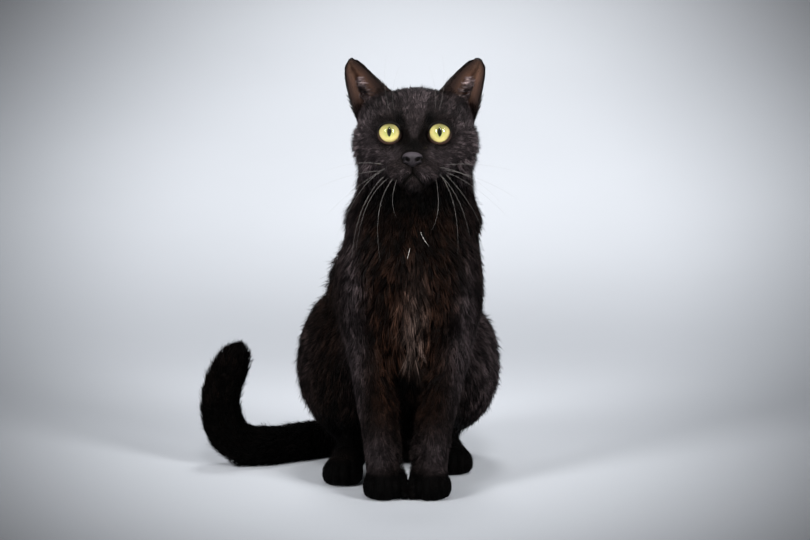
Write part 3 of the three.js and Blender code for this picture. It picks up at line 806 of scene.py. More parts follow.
def press_mouth(points):
    h = in_head(points)
    flat = half_face(h)
    front = smooth((-h[:, 1] - 26) / 8)
    groove = LIP_DEEP * np.exp(-(off_line(flat, LIP_LINE) / LIP_WIDE) ** 2)
    groove *= 1 - 0.7 * smooth((flat[:, 0] - 8) / 12)
    bed = np.hypot(flat[:, 0] / 9.4, (h[:, 2] - NOSE_HIGH) / 6.2)
    under_nose = 1.9 * (1 - smooth((bed - 0.75) / 0.4)) * smooth((-h[:, 1] - 44) / 4)
    h[:, 1] += front * groove + under_nose
    return from_head(h)


points = press_mouth(points)
skin_mesh.vertices.foreach_set("co", row(points).astype(np.float32).ravel())
skin_mesh.polygons.foreach_set("use_smooth", np.ones(len(skin_mesh.polygons), bool))
skin_mesh.update()
skin = bpy.data.objects.new("skin", skin_mesh)
scene.collection.objects.link(skin)
print("skin:", len(triangles), "triangles")

# %% [markdown]
# ## A map of the skin
#
# To paint a surface, it is cut and laid flat like a tailor's pattern. Smart UV Project does that from the
# skin's own shape. The coat's tufts later take their place on this map from where they are rooted.

# %% Unwrap the skin
skin_mesh.uv_layers.new(name="OFBake")
bpy.context.view_layer.objects.active = skin
skin.select_set(True)
bpy.ops.object.mode_set(mode="EDIT")
bpy.ops.mesh.select_all(action="SELECT")
bpy.ops.uv.smart_project(angle_limit=math.radians(66), island_margin=0.003)
bpy.ops.object.mode_set(mode="OBJECT")
skin.select_set(False)
skin_uv = np.empty(len(skin_mesh.loops) * 2, np.float32)
skin_mesh.uv_layers["OFBake"].data.foreach_get("uv", skin_uv)
skin_uv = skin_uv.reshape(-1, 2)
points, triangles = tables(skin_mesh)
triangle_loops = np.empty(len(skin_mesh.loop_triangles) * 3, np.int32)
skin_mesh.loop_triangles.foreach_get("loops", triangle_loops)
triangle_loops = triangle_loops.reshape(-1, 3)
normals = point_normals(points, triangles)
print("map:", round(float(skin_uv.max()), 2), "wide")

# %% [markdown]
# ## Markings
#
# A black cat isn't one black. Its breast and the insides of its legs are rusty where the sun has bleached
# them, and a few paler hairs run down the middle of the breast. The shins, the shoulders, the cheeks and a
# wedge up the forehead get a cool grey painted highlight, where the lights catch the fur. The feet, the
# tail, the throat, the hollow between the legs and the rings round the eyes are made blackest: partly the
# coat's own black, partly painted shade under the head, between the legs and near the floor. Skin and coat
# must show the same markings, so they are worked out once, from the place on the cat alone, and both read
# the result.

# %% Markings
def blob(points, middle, size):
    """A soft ellipsoid: 1 in its middle, fading to 0."""
    return np.exp(-(((points - middle) / size) ** 2).sum(axis=1))


MARKS = ("rust", "pale", "painted_sheen", "deep")
BODY_SPOTS = (  # marking, middle in the plan, size, strength
    ("rust", (1, -46, 160), (28, 44, 36), 1.1), ("rust", (2, -46, 226), (46, 50, 40), 0.6),
    ("rust", (-22, -40, 104), (11, 40, 44), 0.8), ("rust", (15, -40, 104), (11, 40, 44), 0.8),
    ("rust", (-16, 90, 110), (100, 90, 70), 0.4),
    ("pale", (1, -46, 124), (7, 40, 32), 1.0), ("pale", (2, -46, 165), (10, 40, 34), 0.5),
    # These grey spots are painted highlights, where the lights catch the shins, the shoulders and the
    # haunches.
    ("painted_sheen", (-50, -6, 165), (9, 60, 70), 1.0), ("painted_sheen", (46, -6, 150), (9, 60, 60), 1.0),
    ("painted_sheen", (-49, -34, 92), (8, 30, 50), 1.0), ("painted_sheen", (40, -34, 92), (8, 30, 50), 0.9),
    ("painted_sheen", (-30, -44, 38), (14, 24, 16), 0.9), ("painted_sheen", (20, -44, 38), (16, 24, 18), 0.9),
    ("painted_sheen", (84, 80, 110), (38, 80, 70), 1.3), ("painted_sheen", (-104, 80, 110), (20, 70, 70), 0.5),
    # These spots make the coat blacker: partly its own black, partly painted shade under the head, between
    # the legs, under the belly and on the tail.
    ("deep", (2, -40, 252), (34, 40, 16), 0.8), ("deep", (2, -44, 218), (36, 50, 28), 0.65),
    ("deep", (-24, -44, 112), (9, 40, 30), 0.5), ("deep", (18, -44, 112), (9, 40, 30), 0.5),
    ("deep", (-3, 20, 90), (16, 50, 60), 1.3), ("deep", (-150, 96, 60), (42, 40, 80), 1.2),
    ("deep", (-4, -20, 60), (7, 60, 60), 0.9), ("deep", (-60, 30, 60), (18, 60, 60), 0.5),
)
HEAD_SPOTS = (  # the same in the head's frame, each mirrored
    # These grey spots are painted highlights on the forehead, the whisker pads, the lips and the chin.
    ("painted_sheen", (8, -30, 30), (12, 30, 15), 0.4), ("painted_sheen", (26, -30, 28), (12, 30, 8), 0.5),
    ("painted_sheen", (24, -40, -13), (13, 24, 5), 1.0), ("painted_sheen", (15, -44, -8), (5, 20, 6), 0.8),
    ("painted_sheen", (20, -40, -26), (18, 24, 9), 0.8), ("painted_sheen", (44, -10, 0), (14, 40, 30), 1.6),
    ("painted_sheen", (7, -50, -27), (6, 20, 5), 1.0), ("painted_sheen", (0, -44, -37), (8, 20, 4), 0.8),
    ("painted_sheen", (36, -26, -22), (10, 30, 16), 0.9), ("painted_sheen", (0, 0, 44), (44, 40, 14), 0.35),
    # These spots make the face blacker: painted shade in the eye sockets, over the nose and under the chin
    # and the jaw, partly the fur's own black.
    ("deep", (21, -36, 6), (15.5, 14, 11), 0.8), ("deep", (12, -36, 15), (3.4, 20, 9), 1.2),
    ("deep", (0, -50, -5), (8.5, 16, 6.5), 1.0), ("deep", (0, -46, -48), (13, 20, 7), 0.8),
    ("deep", (34, -26, -34), (16, 20, 10), 0.4), ("deep", (30, 0, -46), (30, 40, 12), 0.6),
    ("deep", (40, 4, 26), (12, 30, 9), 0.7),
)
# Below this height the feet are made black: partly their own black, partly painted shade near the floor.
SOCKS = 22.0  # below this height the forefeet are black


def markings(points):
    """How rusty and pale the coat is at each point, how much grey painted highlight it gets, and how black
    it is made, by its own black and by painted shade, each from 0 to 1.
    """
    h = in_head(points)
    marks = {name: np.zeros(len(points)) for name in MARKS}
    front = smooth((30 - points[:, 1]) / 40)
    for name, middle, size, strength in BODY_SPOTS:
        marks[name] += strength * blob(points, middle, size)
    # The wedge up the forehead gets the grey painted highlight, where the light from above falls.
    half = 2 + 0.3 * h[:, 2]  # the light wedge up the forehead
    wedge = smooth((half + 1.5 - np.abs(h[:, 0])) / 3) * smooth(h[:, 2] / 4) * (h[:, 1] < 0)
    marks["painted_sheen"] += 0.45 * wedge
    for name, middle, size, strength in HEAD_SPOTS:
        marks[name] += strength * blob(np.abs(h) * (1, 0, 0) + h * (0, 1, 1), middle, size)
    marks["deep"] *= 1 - 0.8 * wedge
    # Low down, and low at the back, the coat is made blacker: the feet's own black and painted shade near
    # the floor and under the haunches.
    low = smooth((SOCKS + 2 - points[:, 2]) / 4)
    hind = smooth((points[:, 1] - 20) / 20)
    marks["deep"] += low + 0.9 * hind * smooth((62 - points[:, 2]) / 24)
    marks["pale"] *= front
    return [np.clip(marks[name], 0, 1) for name in MARKS]


print("markings:", len(BODY_SPOTS), "spots on the body and", len(HEAD_SPOTS), "on the head")

# %% [markdown]
# ## Finishes
#
# The coat's finish starts from near black, adds rust, paler hair and a grey painted highlight where the
# markings say so, and makes each tuft darker at its root and lighter at its tip. In soft light black fur has
# little shine, and what shows its form is that no two locks are equally light, so each lock gets a tone of
# its own and the whole coat faint patches. Each part of the coat is also made lighter or darker as a whole,
# which
# is painted light and shade: lightest on the head, darker on the body and darkest on the feet and the tail.
# The skin under it has the same colours with a fine bump, which shows between the tufts as the shorter
# underfur.

# %% Coat and skin materials
BLACK, TIP, RUST, PALE, PAINTED_SHEEN = (rgb(c) for c in ("150f0c", "1e1613", "341f14", "8a766e", "4e4547"))


def coat_colour(paint, along=None):
    """The shared marking recipe, as one colour socket."""
    base = BLACK if along is None else paint.mix(along, BLACK, TIP)
    colour = paint.mix(paint.maths("MULTIPLY", paint.value("rust"), 0.9), base, RUST)
    colour = paint.mix(paint.maths("MULTIPLY", paint.value("pale"), 0.6), colour, PALE)
    return paint.mix(paint.maths("MULTIPLY", paint.value("painted_sheen"), 0.75), colour, PAINTED_SHEEN)


def shaded(paint, colour, *shades):
    """A colour made darker or lighter by each factor in turn, and made dark by the last marking, which is
    the coat's own black together with painted shade.
    """
    shade = paint.maths("MULTIPLY_ADD", paint.value("deep"), -0.88, 1.0)
    for factor in shades:
        shade = paint.maths("MULTIPLY", shade, factor)
    even = paint.add("ShaderNodeCombineXYZ", {0: shade, 1: shade, 2: shade})
    return paint.add("ShaderNodeVectorMath", {0: colour, 1: even}, operation="MULTIPLY")


def coat_finish(name, gloss, light):
    """Short hair on the head is glossier than the longer, softer coat of the body; `light` scales the whole
    colour, as painted light and shade.
    """
    paint = Paint(name, Roughness=0.45, Specular_IOR_Level=gloss)
    along, tone = paint.value("along"), paint.value("tone")
    from_root = paint.maths("MULTIPLY_ADD", along, 0.75 * light, 0.3 * light)
    by_lock = paint.maths("MULTIPLY_ADD", paint.maths("POWER", tone, 2.8), 3.8, 0.15)
    patches = paint.maths("MULTIPLY_ADD", paint.noise(55.0, 3), 1.6, 0.2)
    colour = shaded(paint, coat_colour(paint, along), from_root, by_lock, patches)
    paint.set(paint.shader, "Base Color", colour)
    return paint.material


def skin_finish():
    paint = Paint("skin", Roughness=0.8, Specular_IOR_Level=0.03)
    dim = paint.maths("MULTIPLY_ADD", paint.noise(300.0, 4), 0.4, 0.0)
    fur = shaded(paint, coat_colour(paint), dim)
    paint.set(paint.shader, "Base Color", paint.mix(paint.value("bare"), fur, rgb("0a0807")))
    paint.bump(paint.noise(900.0, 3), 0.6, 0.0006)
    return paint.material


# The last number is painted light and shade: the head's coat is made lightest, as if lit most, the body's
# darker and the feet's and the tail's darker still, as if in shade; the pale ear wisps are made far lighter,
# partly pale hair, partly a painted highlight.
head_coat = coat_finish("black_coat_head", 0.1, 1.15)
body_coat = coat_finish("black_coat_body", 0.04, 0.6)
shaded_dark_coat = coat_finish("black_coat_shaded_dark", 0.02, 0.4)
wisp_coat = coat_finish("ear_wisps", 0.15, 4.0)
skin_mesh.materials.append(skin_finish())
print("coat finishes:", [m.name for m in (head_coat, body_coat, shaded_dark_coat, wisp_coat)])


# %% Finish the skin
def bare_skin(points):
    """1 on the rims of the lids, on the lips and under the nose, where no hair grows."""
    h = in_head(points)
    flat = half_face(h)
    bare = np.zeros(len(points))
    for side in (1, -1):
        off, beyond, distance = round_eye(points, side)
        bare = np.maximum(bare, (1 - smooth((beyond - 7) / 4)) * (distance < 17) * (off < 80))
    lips = 1 - smooth((off_line(flat, LIP_LINE) - 0.9) / 0.8)
    nose = 1 - smooth((np.hypot(flat[:, 0] / 9.4, (h[:, 2] - NOSE_HIGH) / 6.0) - 0.95) / 0.2)
    return np.maximum(bare, np.maximum(lips, nose) * (h[:, 1] < -36))


for name, values in zip(MARKS + ("bare",), markings(points) + [bare_skin(points)]):
    set_values(skin_mesh, name, values)
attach(skin, "root")
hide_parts(*[n for n in FLESH if not n.startswith(("eye", "nose"))])
print("skin finished, with", len(MARKS) + 1, "values painted at each point")

# %% [markdown]
# ## Eyes
#
# A cat's eye is a ball of about 22 millimetres with a very large clear window in front. Behind the window
# lies the iris, a shallow yellow dish with an upright slit for a pupil. Painting the iris on the outside of
# the ball would look flat from the side, so the eye is made of two turned pieces, as on a lathe: the ball
# with the dish in it, and the clear front, which bulges and reaches down into the ball behind the dish.

# %% A lathe for the eyes
TURN_STEPS = 64


def turned(name, profile, side, material):
    """A closed solid turned about the line of sight; the profile runs (radius, forward), pole to pole."""
    profile = np.array(profile, float)
    spin = np.linspace(0, 2 * math.pi, TURN_STEPS, endpoint=False)
    sight = GAZE * (side, 1, 1)
    beside, up = eye_axes(sight)
    rings = profile[1:-1]
    round_about = beside * np.cos(spin)[None, :, None] + up * np.sin(spin)[None, :, None]
    ring_points = (sight * rings[:, None, 1:2] + round_about * rings[:, None, 0:1]).reshape(-1, 3)
    pts = np.vstack([ring_points, sight * profile[0, 1], sight * profile[-1, 1]])
    faces = ring_faces(len(rings), TURN_STEPS)
    last = (len(rings) - 1) * TURN_STEPS
    first_pole, last_pole = len(pts) - 2, len(pts) - 1
    for s in range(TURN_STEPS):
        t = (s + 1) % TURN_STEPS
        faces += [(first_pole, t, s), (last_pole, last + s, last + t)]
    piece = make_mesh(name, from_head(EYE_SPOT * (side, 1, 1) + pts), faces, material)
    turn_outward(piece)
    set_values(piece.data, "iris_x", pts @ beside)
    set_values(piece.data, "iris_z", pts @ up)
    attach(piece, "root")
    return piece


print("the eyes look along", np.round(GAZE, 2), "in the head's frame")

# %% Profiles of the ball and its window
IRIS_EDGE = math.radians(53)
IRIS_R = EYE_R * math.sin(IRIS_EDGE)
IRIS_DEEP = EYE_R * math.cos(IRIS_EDGE)
DISH = 0.9  # how deep the iris is hollowed
WINDOW_UNDER = 0.6  # how far the window reaches behind the dish
BULGE = 1.5  # how far its front stands off the ball


def ball_profile():
    back = [(EYE_R * math.sin(a), EYE_R * math.cos(a)) for a in np.linspace(math.pi, IRIS_EDGE, 20)]
    dish = [(IRIS_R * k, IRIS_DEEP - DISH * (1 - k * k)) for k in (0.97, 0.85, 0.7, 0.5, 0.3, 0.15, 0.0)]
    return back + dish


def window_profile():
    front = []
    for a in np.linspace(0, IRIS_EDGE + 0.06, 18):
        bulge = BULGE * max(0.0, math.cos(min(a * 1.8, math.pi / 2))) ** 1.2
        r = EYE_R + 0.06 + bulge
        front.append((r * math.sin(a), r * math.cos(a)))
    back = [(IRIS_R * k, IRIS_DEEP - WINDOW_UNDER - DISH * (1 - k * k)) for k in (0.98, 0.7, 0.35, 0.0)]
    return front + back


print("iris:", round(2 * IRIS_R, 1), "mm across")

# %% Turn the eyes
PUPIL = (1.5, 3.5)  # half its width and half its height


def eye_finish():
    """Pale yellow, greener towards the pupil, darker at the rim, with fine spokes; the pupil is a slit."""
    paint = Paint("eye_iris", Roughness=0.5, Specular_IOR_Level=0.03)
    x, z = paint.value("iris_x"), paint.value("iris_z")
    square = lambda v: paint.maths("MULTIPLY", v, v)
    out = paint.maths("SQRT", paint.maths("ADD", square(x), square(z)))
    wide = paint.maths("ABSOLUTE", paint.maths("DIVIDE", x, PUPIL[0]))
    angle = paint.maths("ARCTAN2", z, x)
    rays = paint.add("ShaderNodeCombineXYZ", {0: angle, 1: paint.maths("MULTIPLY", out, 0.12), 2: 0.0})
    spokes = paint.add("ShaderNodeTexNoise", {"Vector": rays, "Scale": 9.0, "Detail": 4.0}, out="Fac")
    colour = paint.ramp(
        paint.maths("DIVIDE", out, IRIS_R),
        (0.0, rgb("7c8242")), (0.35, rgb("98984f")), (0.58, rgb("bcb06c")),
        (0.82, rgb("c4b670")), (0.9, rgb("9c863f")), (0.97, rgb("3a2c10")))
    colour = paint.mix(paint.maths("MULTIPLY", spokes, 0.3), colour, rgb("d8cf98"))
    slit = paint.maths("ADD", wide, square(paint.maths("DIVIDE", z, PUPIL[1])))
    iris_shows = paint.add("ShaderNodeMapRange", {"Value": slit, "From Min": 0.88, "From Max": 1.2})
    lid_shade = {"Value": z, "From Min": 1.5, "From Max": 7.5, "To Max": 0.7}
    colour = paint.mix(paint.add("ShaderNodeMapRange", lid_shade), colour, rgb("3a3518"))
    paint.set(paint.shader, "Base Color", paint.mix(iris_shows, rgb("020202"), colour))
    return paint.material


iris_material = eye_finish()
window_material = Paint("eye_window", Roughness=0.0, IOR=1.336, Transmission_Weight=1.0,
                        Base_Color=(1, 1, 1, 1)).material
for side, name in ((1, "left"), (-1, "right")):
    ball = turned(f"eyeball_{name}", ball_profile(), side, iris_material)
    turned(f"eye_window_{name}", window_profile(), side, window_material)
    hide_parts(f"eye_{name}")
print("each eyeball:", len(ball.data.polygons), "triangles")

# %% [markdown]
# The rim of the lids is bare and always a little moist, black above and browner below. It is made as a band
# of its own, because a smooth edge so close to a bright eye shows the slightest step. The band follows the
# opening all the way round, rests on the ball and is broader at the corner towards the nose.

# %% Rims of the lids
RIM_SECTION = (  # degrees outside the opening, and millimetres from the middle of the eye
    (-0.4, 11.25), (-0.5, 11.7), (0.3, 12.25), (2.2, 12.6),
    (5.0, 12.7), (8.0, 12.55), (8.5, 11.6), (3.0, 11.0),
)
RIM_STEPS = 96


def lid_rim(side):
    """The band's points, its faces, and how far each point is round to the lower lid."""
    around = np.linspace(0, 2 * math.pi, RIM_STEPS, endpoint=False)
    temple, brow = eye_axes(LIDS_FACE)
    aside = temple * np.cos(around)[:, None] + brow * np.sin(around)[:, None]
    rings = []
    for spread, r in RIM_SECTION:
        off = np.radians(opening_at(around) + spread * (rim_spread(around) if spread > 1 else 1))
        rings.append(r * (LIDS_FACE * np.cos(off)[:, None] + aside * np.sin(off)[:, None]))
    pts = np.stack(rings, axis=1).reshape(-1, 3) + EYE_SPOT
    lower = np.repeat(smooth(0.3 - np.sin(around)), len(RIM_SECTION))
    return from_head(pts * (side, 1, 1)), ring_faces(RIM_STEPS, len(RIM_SECTION), closed=True), lower


paint = Paint("lid_rim", Roughness=0.5, Specular_IOR_Level=0.06)
paint.set(paint.shader, "Base Color", paint.mix(paint.value("lower"), rgb("080605"), rgb("2c1f1a")))
paint.bump(paint.noise(900.0), 0.25, 0.0002)
for side, name in ((1, "left"), (-1, "right")):
    pts, faces, lower = lid_rim(side)
    rim = make_mesh(f"lid_rim_{name}", pts, faces, paint.material)
    turn_outward(rim)
    set_values(rim.data, "lower", lower)
    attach(rim, "root")
    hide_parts(f"eyelids_{name}")
print("lid rims:", 2 * len(faces), "triangles")

# %% [markdown]
# ## Nose
#
# The nose is bare leather, finely pebbled and a little moist, with a comma of a nostril in each wing. Its
# solid already has the form, only too coarsely faceted for a close look, so it is wrapped in a fine net and
# eased, and the groove that runs down to the lip is pressed in.

# %% Nose leather
NOSE_NET, NOSE_SWELL = 0.4, 0.35
NOSTRIL = np.array([(3.4, -14.4), (4.8, -13.3), (6.6, -13.6), (8.2, -14.8)])  # a comma, from the middle out
NOSTRIL_WIDE, NOSTRIL_DEEP = 1.3, 2.6
GROOVE_WIDE, GROOVE_DEEP = 0.55, 0.8

nose_mesh = net_round(*swollen("nose", NOSE_SWELL), NOSE_NET)
nose_points, nose_triangles = tables(nose_mesh)
h = in_head(ease(nose_points, mesh_edges(nose_mesh), 0.5, 12))
bpy.data.meshes.remove(nose_mesh)
h[:, 1] += GROOVE_DEEP * np.exp(-(h[:, 0] / GROOVE_WIDE) ** 2) * smooth((-h[:, 2] - 14.5) / 2)
to_nostril = off_line(np.stack([np.abs(h[:, 0]), h[:, 2]], axis=1), NOSTRIL)
hollow = np.exp(-(to_nostril / NOSTRIL_WIDE) ** 4) * (h[:, 1] < -44)
h[:, 1] += NOSTRIL_DEEP * hollow
# The upper face of the nose is marked here, for a painted highlight from the light above.
upward = smooth((h[:, 2] + 12.6) / 2.5)
h += (NOSE_ASIDE, 0, -NOSE_DROP)
paint = Paint("nose_leather", Roughness=0.55, Specular_IOR_Level=0.15)
pebbles = paint.add("ShaderNodeTexVoronoi", {"Vector": paint.place(), "Scale": 1500.0}, out="Distance")
# The leather is lighter on its upper face: a painted highlight from the light above.
leather = paint.mix(paint.value("top"), rgb("1c181b"), rgb("353034"))
leather = paint.mix(paint.maths("MULTIPLY", paint.noise(400.0), 0.4), leather, rgb("1a1618"))
# The nostrils are painted near black: painted shade inside their openings.
paint.set(paint.shader, "Base Color", paint.mix(paint.value("nostril"), leather, rgb("040303")))
paint.bump(pebbles, 0.5, 0.0002)
nose = make_mesh("nose_leather", from_head(h), nose_triangles, paint.material)
set_values(nose.data, "top", upward)
set_values(nose.data, "nostril", hollow)
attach(nose, "root")
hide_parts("nose")
print("nose:", len(nose_triangles), "triangles")

# %% [markdown]
# ## Ears
#
# An ear is a thin leaf of gristle rolled into a cup. Three lines draw it: its outer edge, the crest of its
# back and its inner edge, each through five points, and the leaf spans them at every height. It is two to
# three millimetres thick at the root and half that at the tip, and its root is sunk in the head.

# %% The leaf of an ear
EAR_LINES = {
    "outer": [(44, 7, 4), (52.5, 0, 26), (57, 0, 46), (58, 3, 58), (55.6, 5, 64.5)],
    "back": [(32, 27, 4), (40, 29, 28), (47, 21, 48), (53, 12, 59), (53.5, 5.5, 66.5)],
    "inner": [(12, 4, 32), (25, -3, 45), (37, -1, 57), (45, 2, 63.8), (51, 5, 66.5)],
}
EAR_SET = {  # how far each line is moved outwards above the root
    1: {"outer": 0.0, "back": -0.8, "inner": -2.0},
    -1: {"outer": 1.6, "back": 1.6, "inner": 1.6},
}
EAR_THICK = (2.6, 1.2)  # at the root and at the tip
EAR_FOLDS = ((0.30, 0.05), (0.72, 0.06))  # where two folds run up inside the cup, and how wide each is
FOLD_HIGH = 0.9
EAR_ROWS, EAR_ACROSS = 44, 26


def through(line, t):
    """Points on a smooth curve through the line's points, at t from 0 to 1."""
    line = np.asarray(line, float)
    padded = np.vstack([2 * line[0] - line[1], line, 2 * line[-1] - line[-2]])
    u = np.clip(np.asarray(t, float), 0, 1) * (len(line) - 1)
    i = np.minimum(u.astype(int), len(line) - 2)
    f = (u - i)[..., None]
    a, b, c, d = (padded[i + k] for k in range(4))
    bend, twist = 2 * a - 5 * b + 4 * c - d, 3 * b - a - 3 * c + d
    return 0.5 * (2 * b + (c - a) * f + bend * f**2 + twist * f**3)


def leaf(t, s, side):
    """A point of the leaf; the two ears are set a little differently, as on every cat."""
    outward = smooth(np.asarray(t, float) / 0.5)[..., None] * (1, 0, 0)
    outer, back, inner = (
        through(line, t) + EAR_SET[side][edge] * outward for edge, line in EAR_LINES.items())
    control = 2 * back - (outer + inner) / 2
    s = np.asarray(s, float)[..., None]
    return outer * (1 - s) ** 2 + control * 2 * s * (1 - s) + inner * s**2


def leaf_normal(t, s, side):
    e = 0.01
    du = leaf(t, np.minimum(s + e, 1), side) - leaf(t, np.maximum(s - e, 0), side)
    dv = leaf(np.minimum(t + e, 1), s, side) - leaf(np.maximum(t - e, 0), s, side)
    return unit(np.cross(du, dv))


def half_thick(t, s):
    """Half the leaf's thickness, which runs out to nothing at both edges."""
    return (EAR_THICK[0] + (EAR_THICK[1] - EAR_THICK[0]) * t) * np.sin(math.pi * s) ** 0.5 / 2


def ear_grid(side):
    """The leaf's points in the head's frame with t, s and 1 on the inner face, ring by ring."""
    out = np.linspace(0, 1, EAR_ACROSS, endpoint=False)
    back = np.linspace(1, 0, EAR_ACROSS, endpoint=False)
    t, s = np.meshgrid(np.linspace(0, 0.995, EAR_ROWS) ** 0.9, np.concatenate([out, back]), indexing="ij")
    inner = np.zeros_like(t)
    inner[:, EAR_ACROSS:] = 1
    folds = sum(FOLD_HIGH * np.exp(-((s - middle) / wide) ** 2) for middle, wide in EAR_FOLDS)
    folds = folds * inner * (1 - smooth((t - 0.35) / 0.3))
    off_leaf = half_thick(t, s) * (1 - 2 * inner) - folds
    pts = leaf(t, s, side) + leaf_normal(t, s, side) * off_leaf[..., None]
    return pts.reshape(-1, 3), t.ravel(), s.ravel(), inner.ravel()


print("each ear:", EAR_ROWS, "rings of", 2 * EAR_ACROSS, "points")


# %% Ears
def ear_finish():
    """Black outside; inside brown skin, lightest and warmest in the middle, partly its own colour and partly
    painted light shining through, darker towards the edges and the tip, and darker down in the cup, which is
    painted shade.
    """
    paint = Paint("ear_skin", Roughness=0.6, Specular_IOR_Level=0.35)
    t, s = paint.value("ear_t"), paint.value("ear_s")
    middle = paint.maths("MULTIPLY", paint.maths("MULTIPLY", s, paint.maths("SUBTRACT", 1.0, s)), 4.0)
    # The middle of the leaf is lightest and warmest: skin colour with painted light shining through.
    inside = paint.ramp(
        middle, (0.0, rgb("0c0807")), (0.4, rgb("291c16")), (0.75, rgb("583f33")), (1.0, rgb("8a6652")))
    # Down in the cup, near the root, the skin is made darker, as painted shade; it also darkens towards the
    # tip.
    dark = paint.ramp(
        t, (0.15, grey(1)), (0.37, grey(0.35)), (0.55, grey(0)), (0.65, grey(0.1)), (0.95, grey(0.75)))
    inside = paint.mix(dark, inside, rgb("0c0908"))
    inside = paint.mix(paint.maths("MULTIPLY", paint.noise(160.0, 4), 0.5), inside, rgb("3a2620"))
    paint.set(paint.shader, "Base Color", paint.mix(paint.value("ear_in"), rgb("0b0908"), inside))
    paint.bump(paint.noise(700.0), 0.3, 0.0003)
    return paint.material


ear_material = ear_finish()
ring = 2 * EAR_ACROSS
top = (EAR_ROWS - 1) * ring
ear_faces = ring_faces(EAR_ROWS, ring)
for c in range(1, ring - 1):  # its foot and its tip are closed
    ear_faces += [(0, c + 1, c), (top, top + c, top + c + 1)]
for side, name in ((1, "left"), (-1, "right")):
    ear_pts, ear_t, ear_s, ear_in = ear_grid(side)
    ear = make_mesh(f"ear_{name}_cup", from_head(ear_pts * (side, 1, 1)), ear_faces, ear_material)
    turn_outward(ear)
    for key, values in (("ear_t", ear_t), ("ear_s", ear_s), ("ear_in", ear_in)):
        set_values(ear.data, key, values)
    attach(ear, "root")
    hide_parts(f"ear_{name}")
print("ears:", len(ear_faces), "triangles each")

# %% [markdown]
# ## Growing tufts
#
# Blender's hair curves look fine in a render but can't be cut, printed or exported as solids, so the coat
# is made of real geometry: each tuft is a thin closed spike of three sides, a few hairs taken together. It
# starts a little under the skin, rises at its lift and then leans over to lie along the body, as real hair
# does. One function grows any number at once from tables of roots, directions and sizes. Hair gathers into
# locks, long along the coat and narrow across it: the tufts of one lock are alike and their tips are drawn
# together a little, while a few hairs stray. Each tuft gets a small patch on the skin's map at its root.

# %% Locks
LOCK_SIZE = 12  # tufts in a lock, more or less
LOCK_STRETCH = 3.2  # a lock is this many times longer along the coat than across it
LOCKS_NEAR = 5  # each tuft chooses among so many


def locks(root, way, draw):
    """The lock that each tuft belongs to, as the number of its middle tuft."""
    n = len(root)
    chosen = draw.choice(n, max(1, n // LOCK_SIZE), replace=False)
    tree = KDTree(len(chosen))
    for i in chosen:
        tree.insert(root[i], i)
    tree.balance()
    near = np.empty((n, min(LOCKS_NEAR, len(chosen))), int)
    for i, point in enumerate(root):
        near[i] = [found[1] for found in tree.find_n(point, near.shape[1])]
    apart = root[near] - root[:, None]
    along = (apart * way[:, None]).sum(axis=2)
    apart = (apart ** 2).sum(axis=2) - along ** 2 * (1 - 1 / LOCK_STRETCH ** 2)
    return near[np.arange(n), apart.argmin(axis=1)]


print("a lock has about", LOCK_SIZE, "tufts")

# %% The tuft maker
PATCH = 0.003  # the side of a tuft's patch on the map
CORNERS = np.radians([90.0, 210.0, 330.0])
SINK = 0.07  # of the tuft's length
PULL_MOST = 0.35  # of the tuft's length
RING_SPOTS = (  # for tufts with no ring between root and tip, one or two: where each ring is, and how wide
    ((0.0, 1.0),),
    ((0.0, 0.75), (0.42, 0.85)),
    ((0.0, 0.7), (0.32, 1.0), (0.68, 0.66)),
)
coat_count = {}


def tuft_faces(rings):
    """The faces of one tuft: its foot, three sides from ring to ring, and its point."""
    last, tip = 3 * rings, 3 * rings + 3
    point = [(last + c, last + (c + 1) % 3, tip) for c in range(3)]
    return np.array([(0, 2, 1)] + ring_faces(rings + 1, 3) + point)


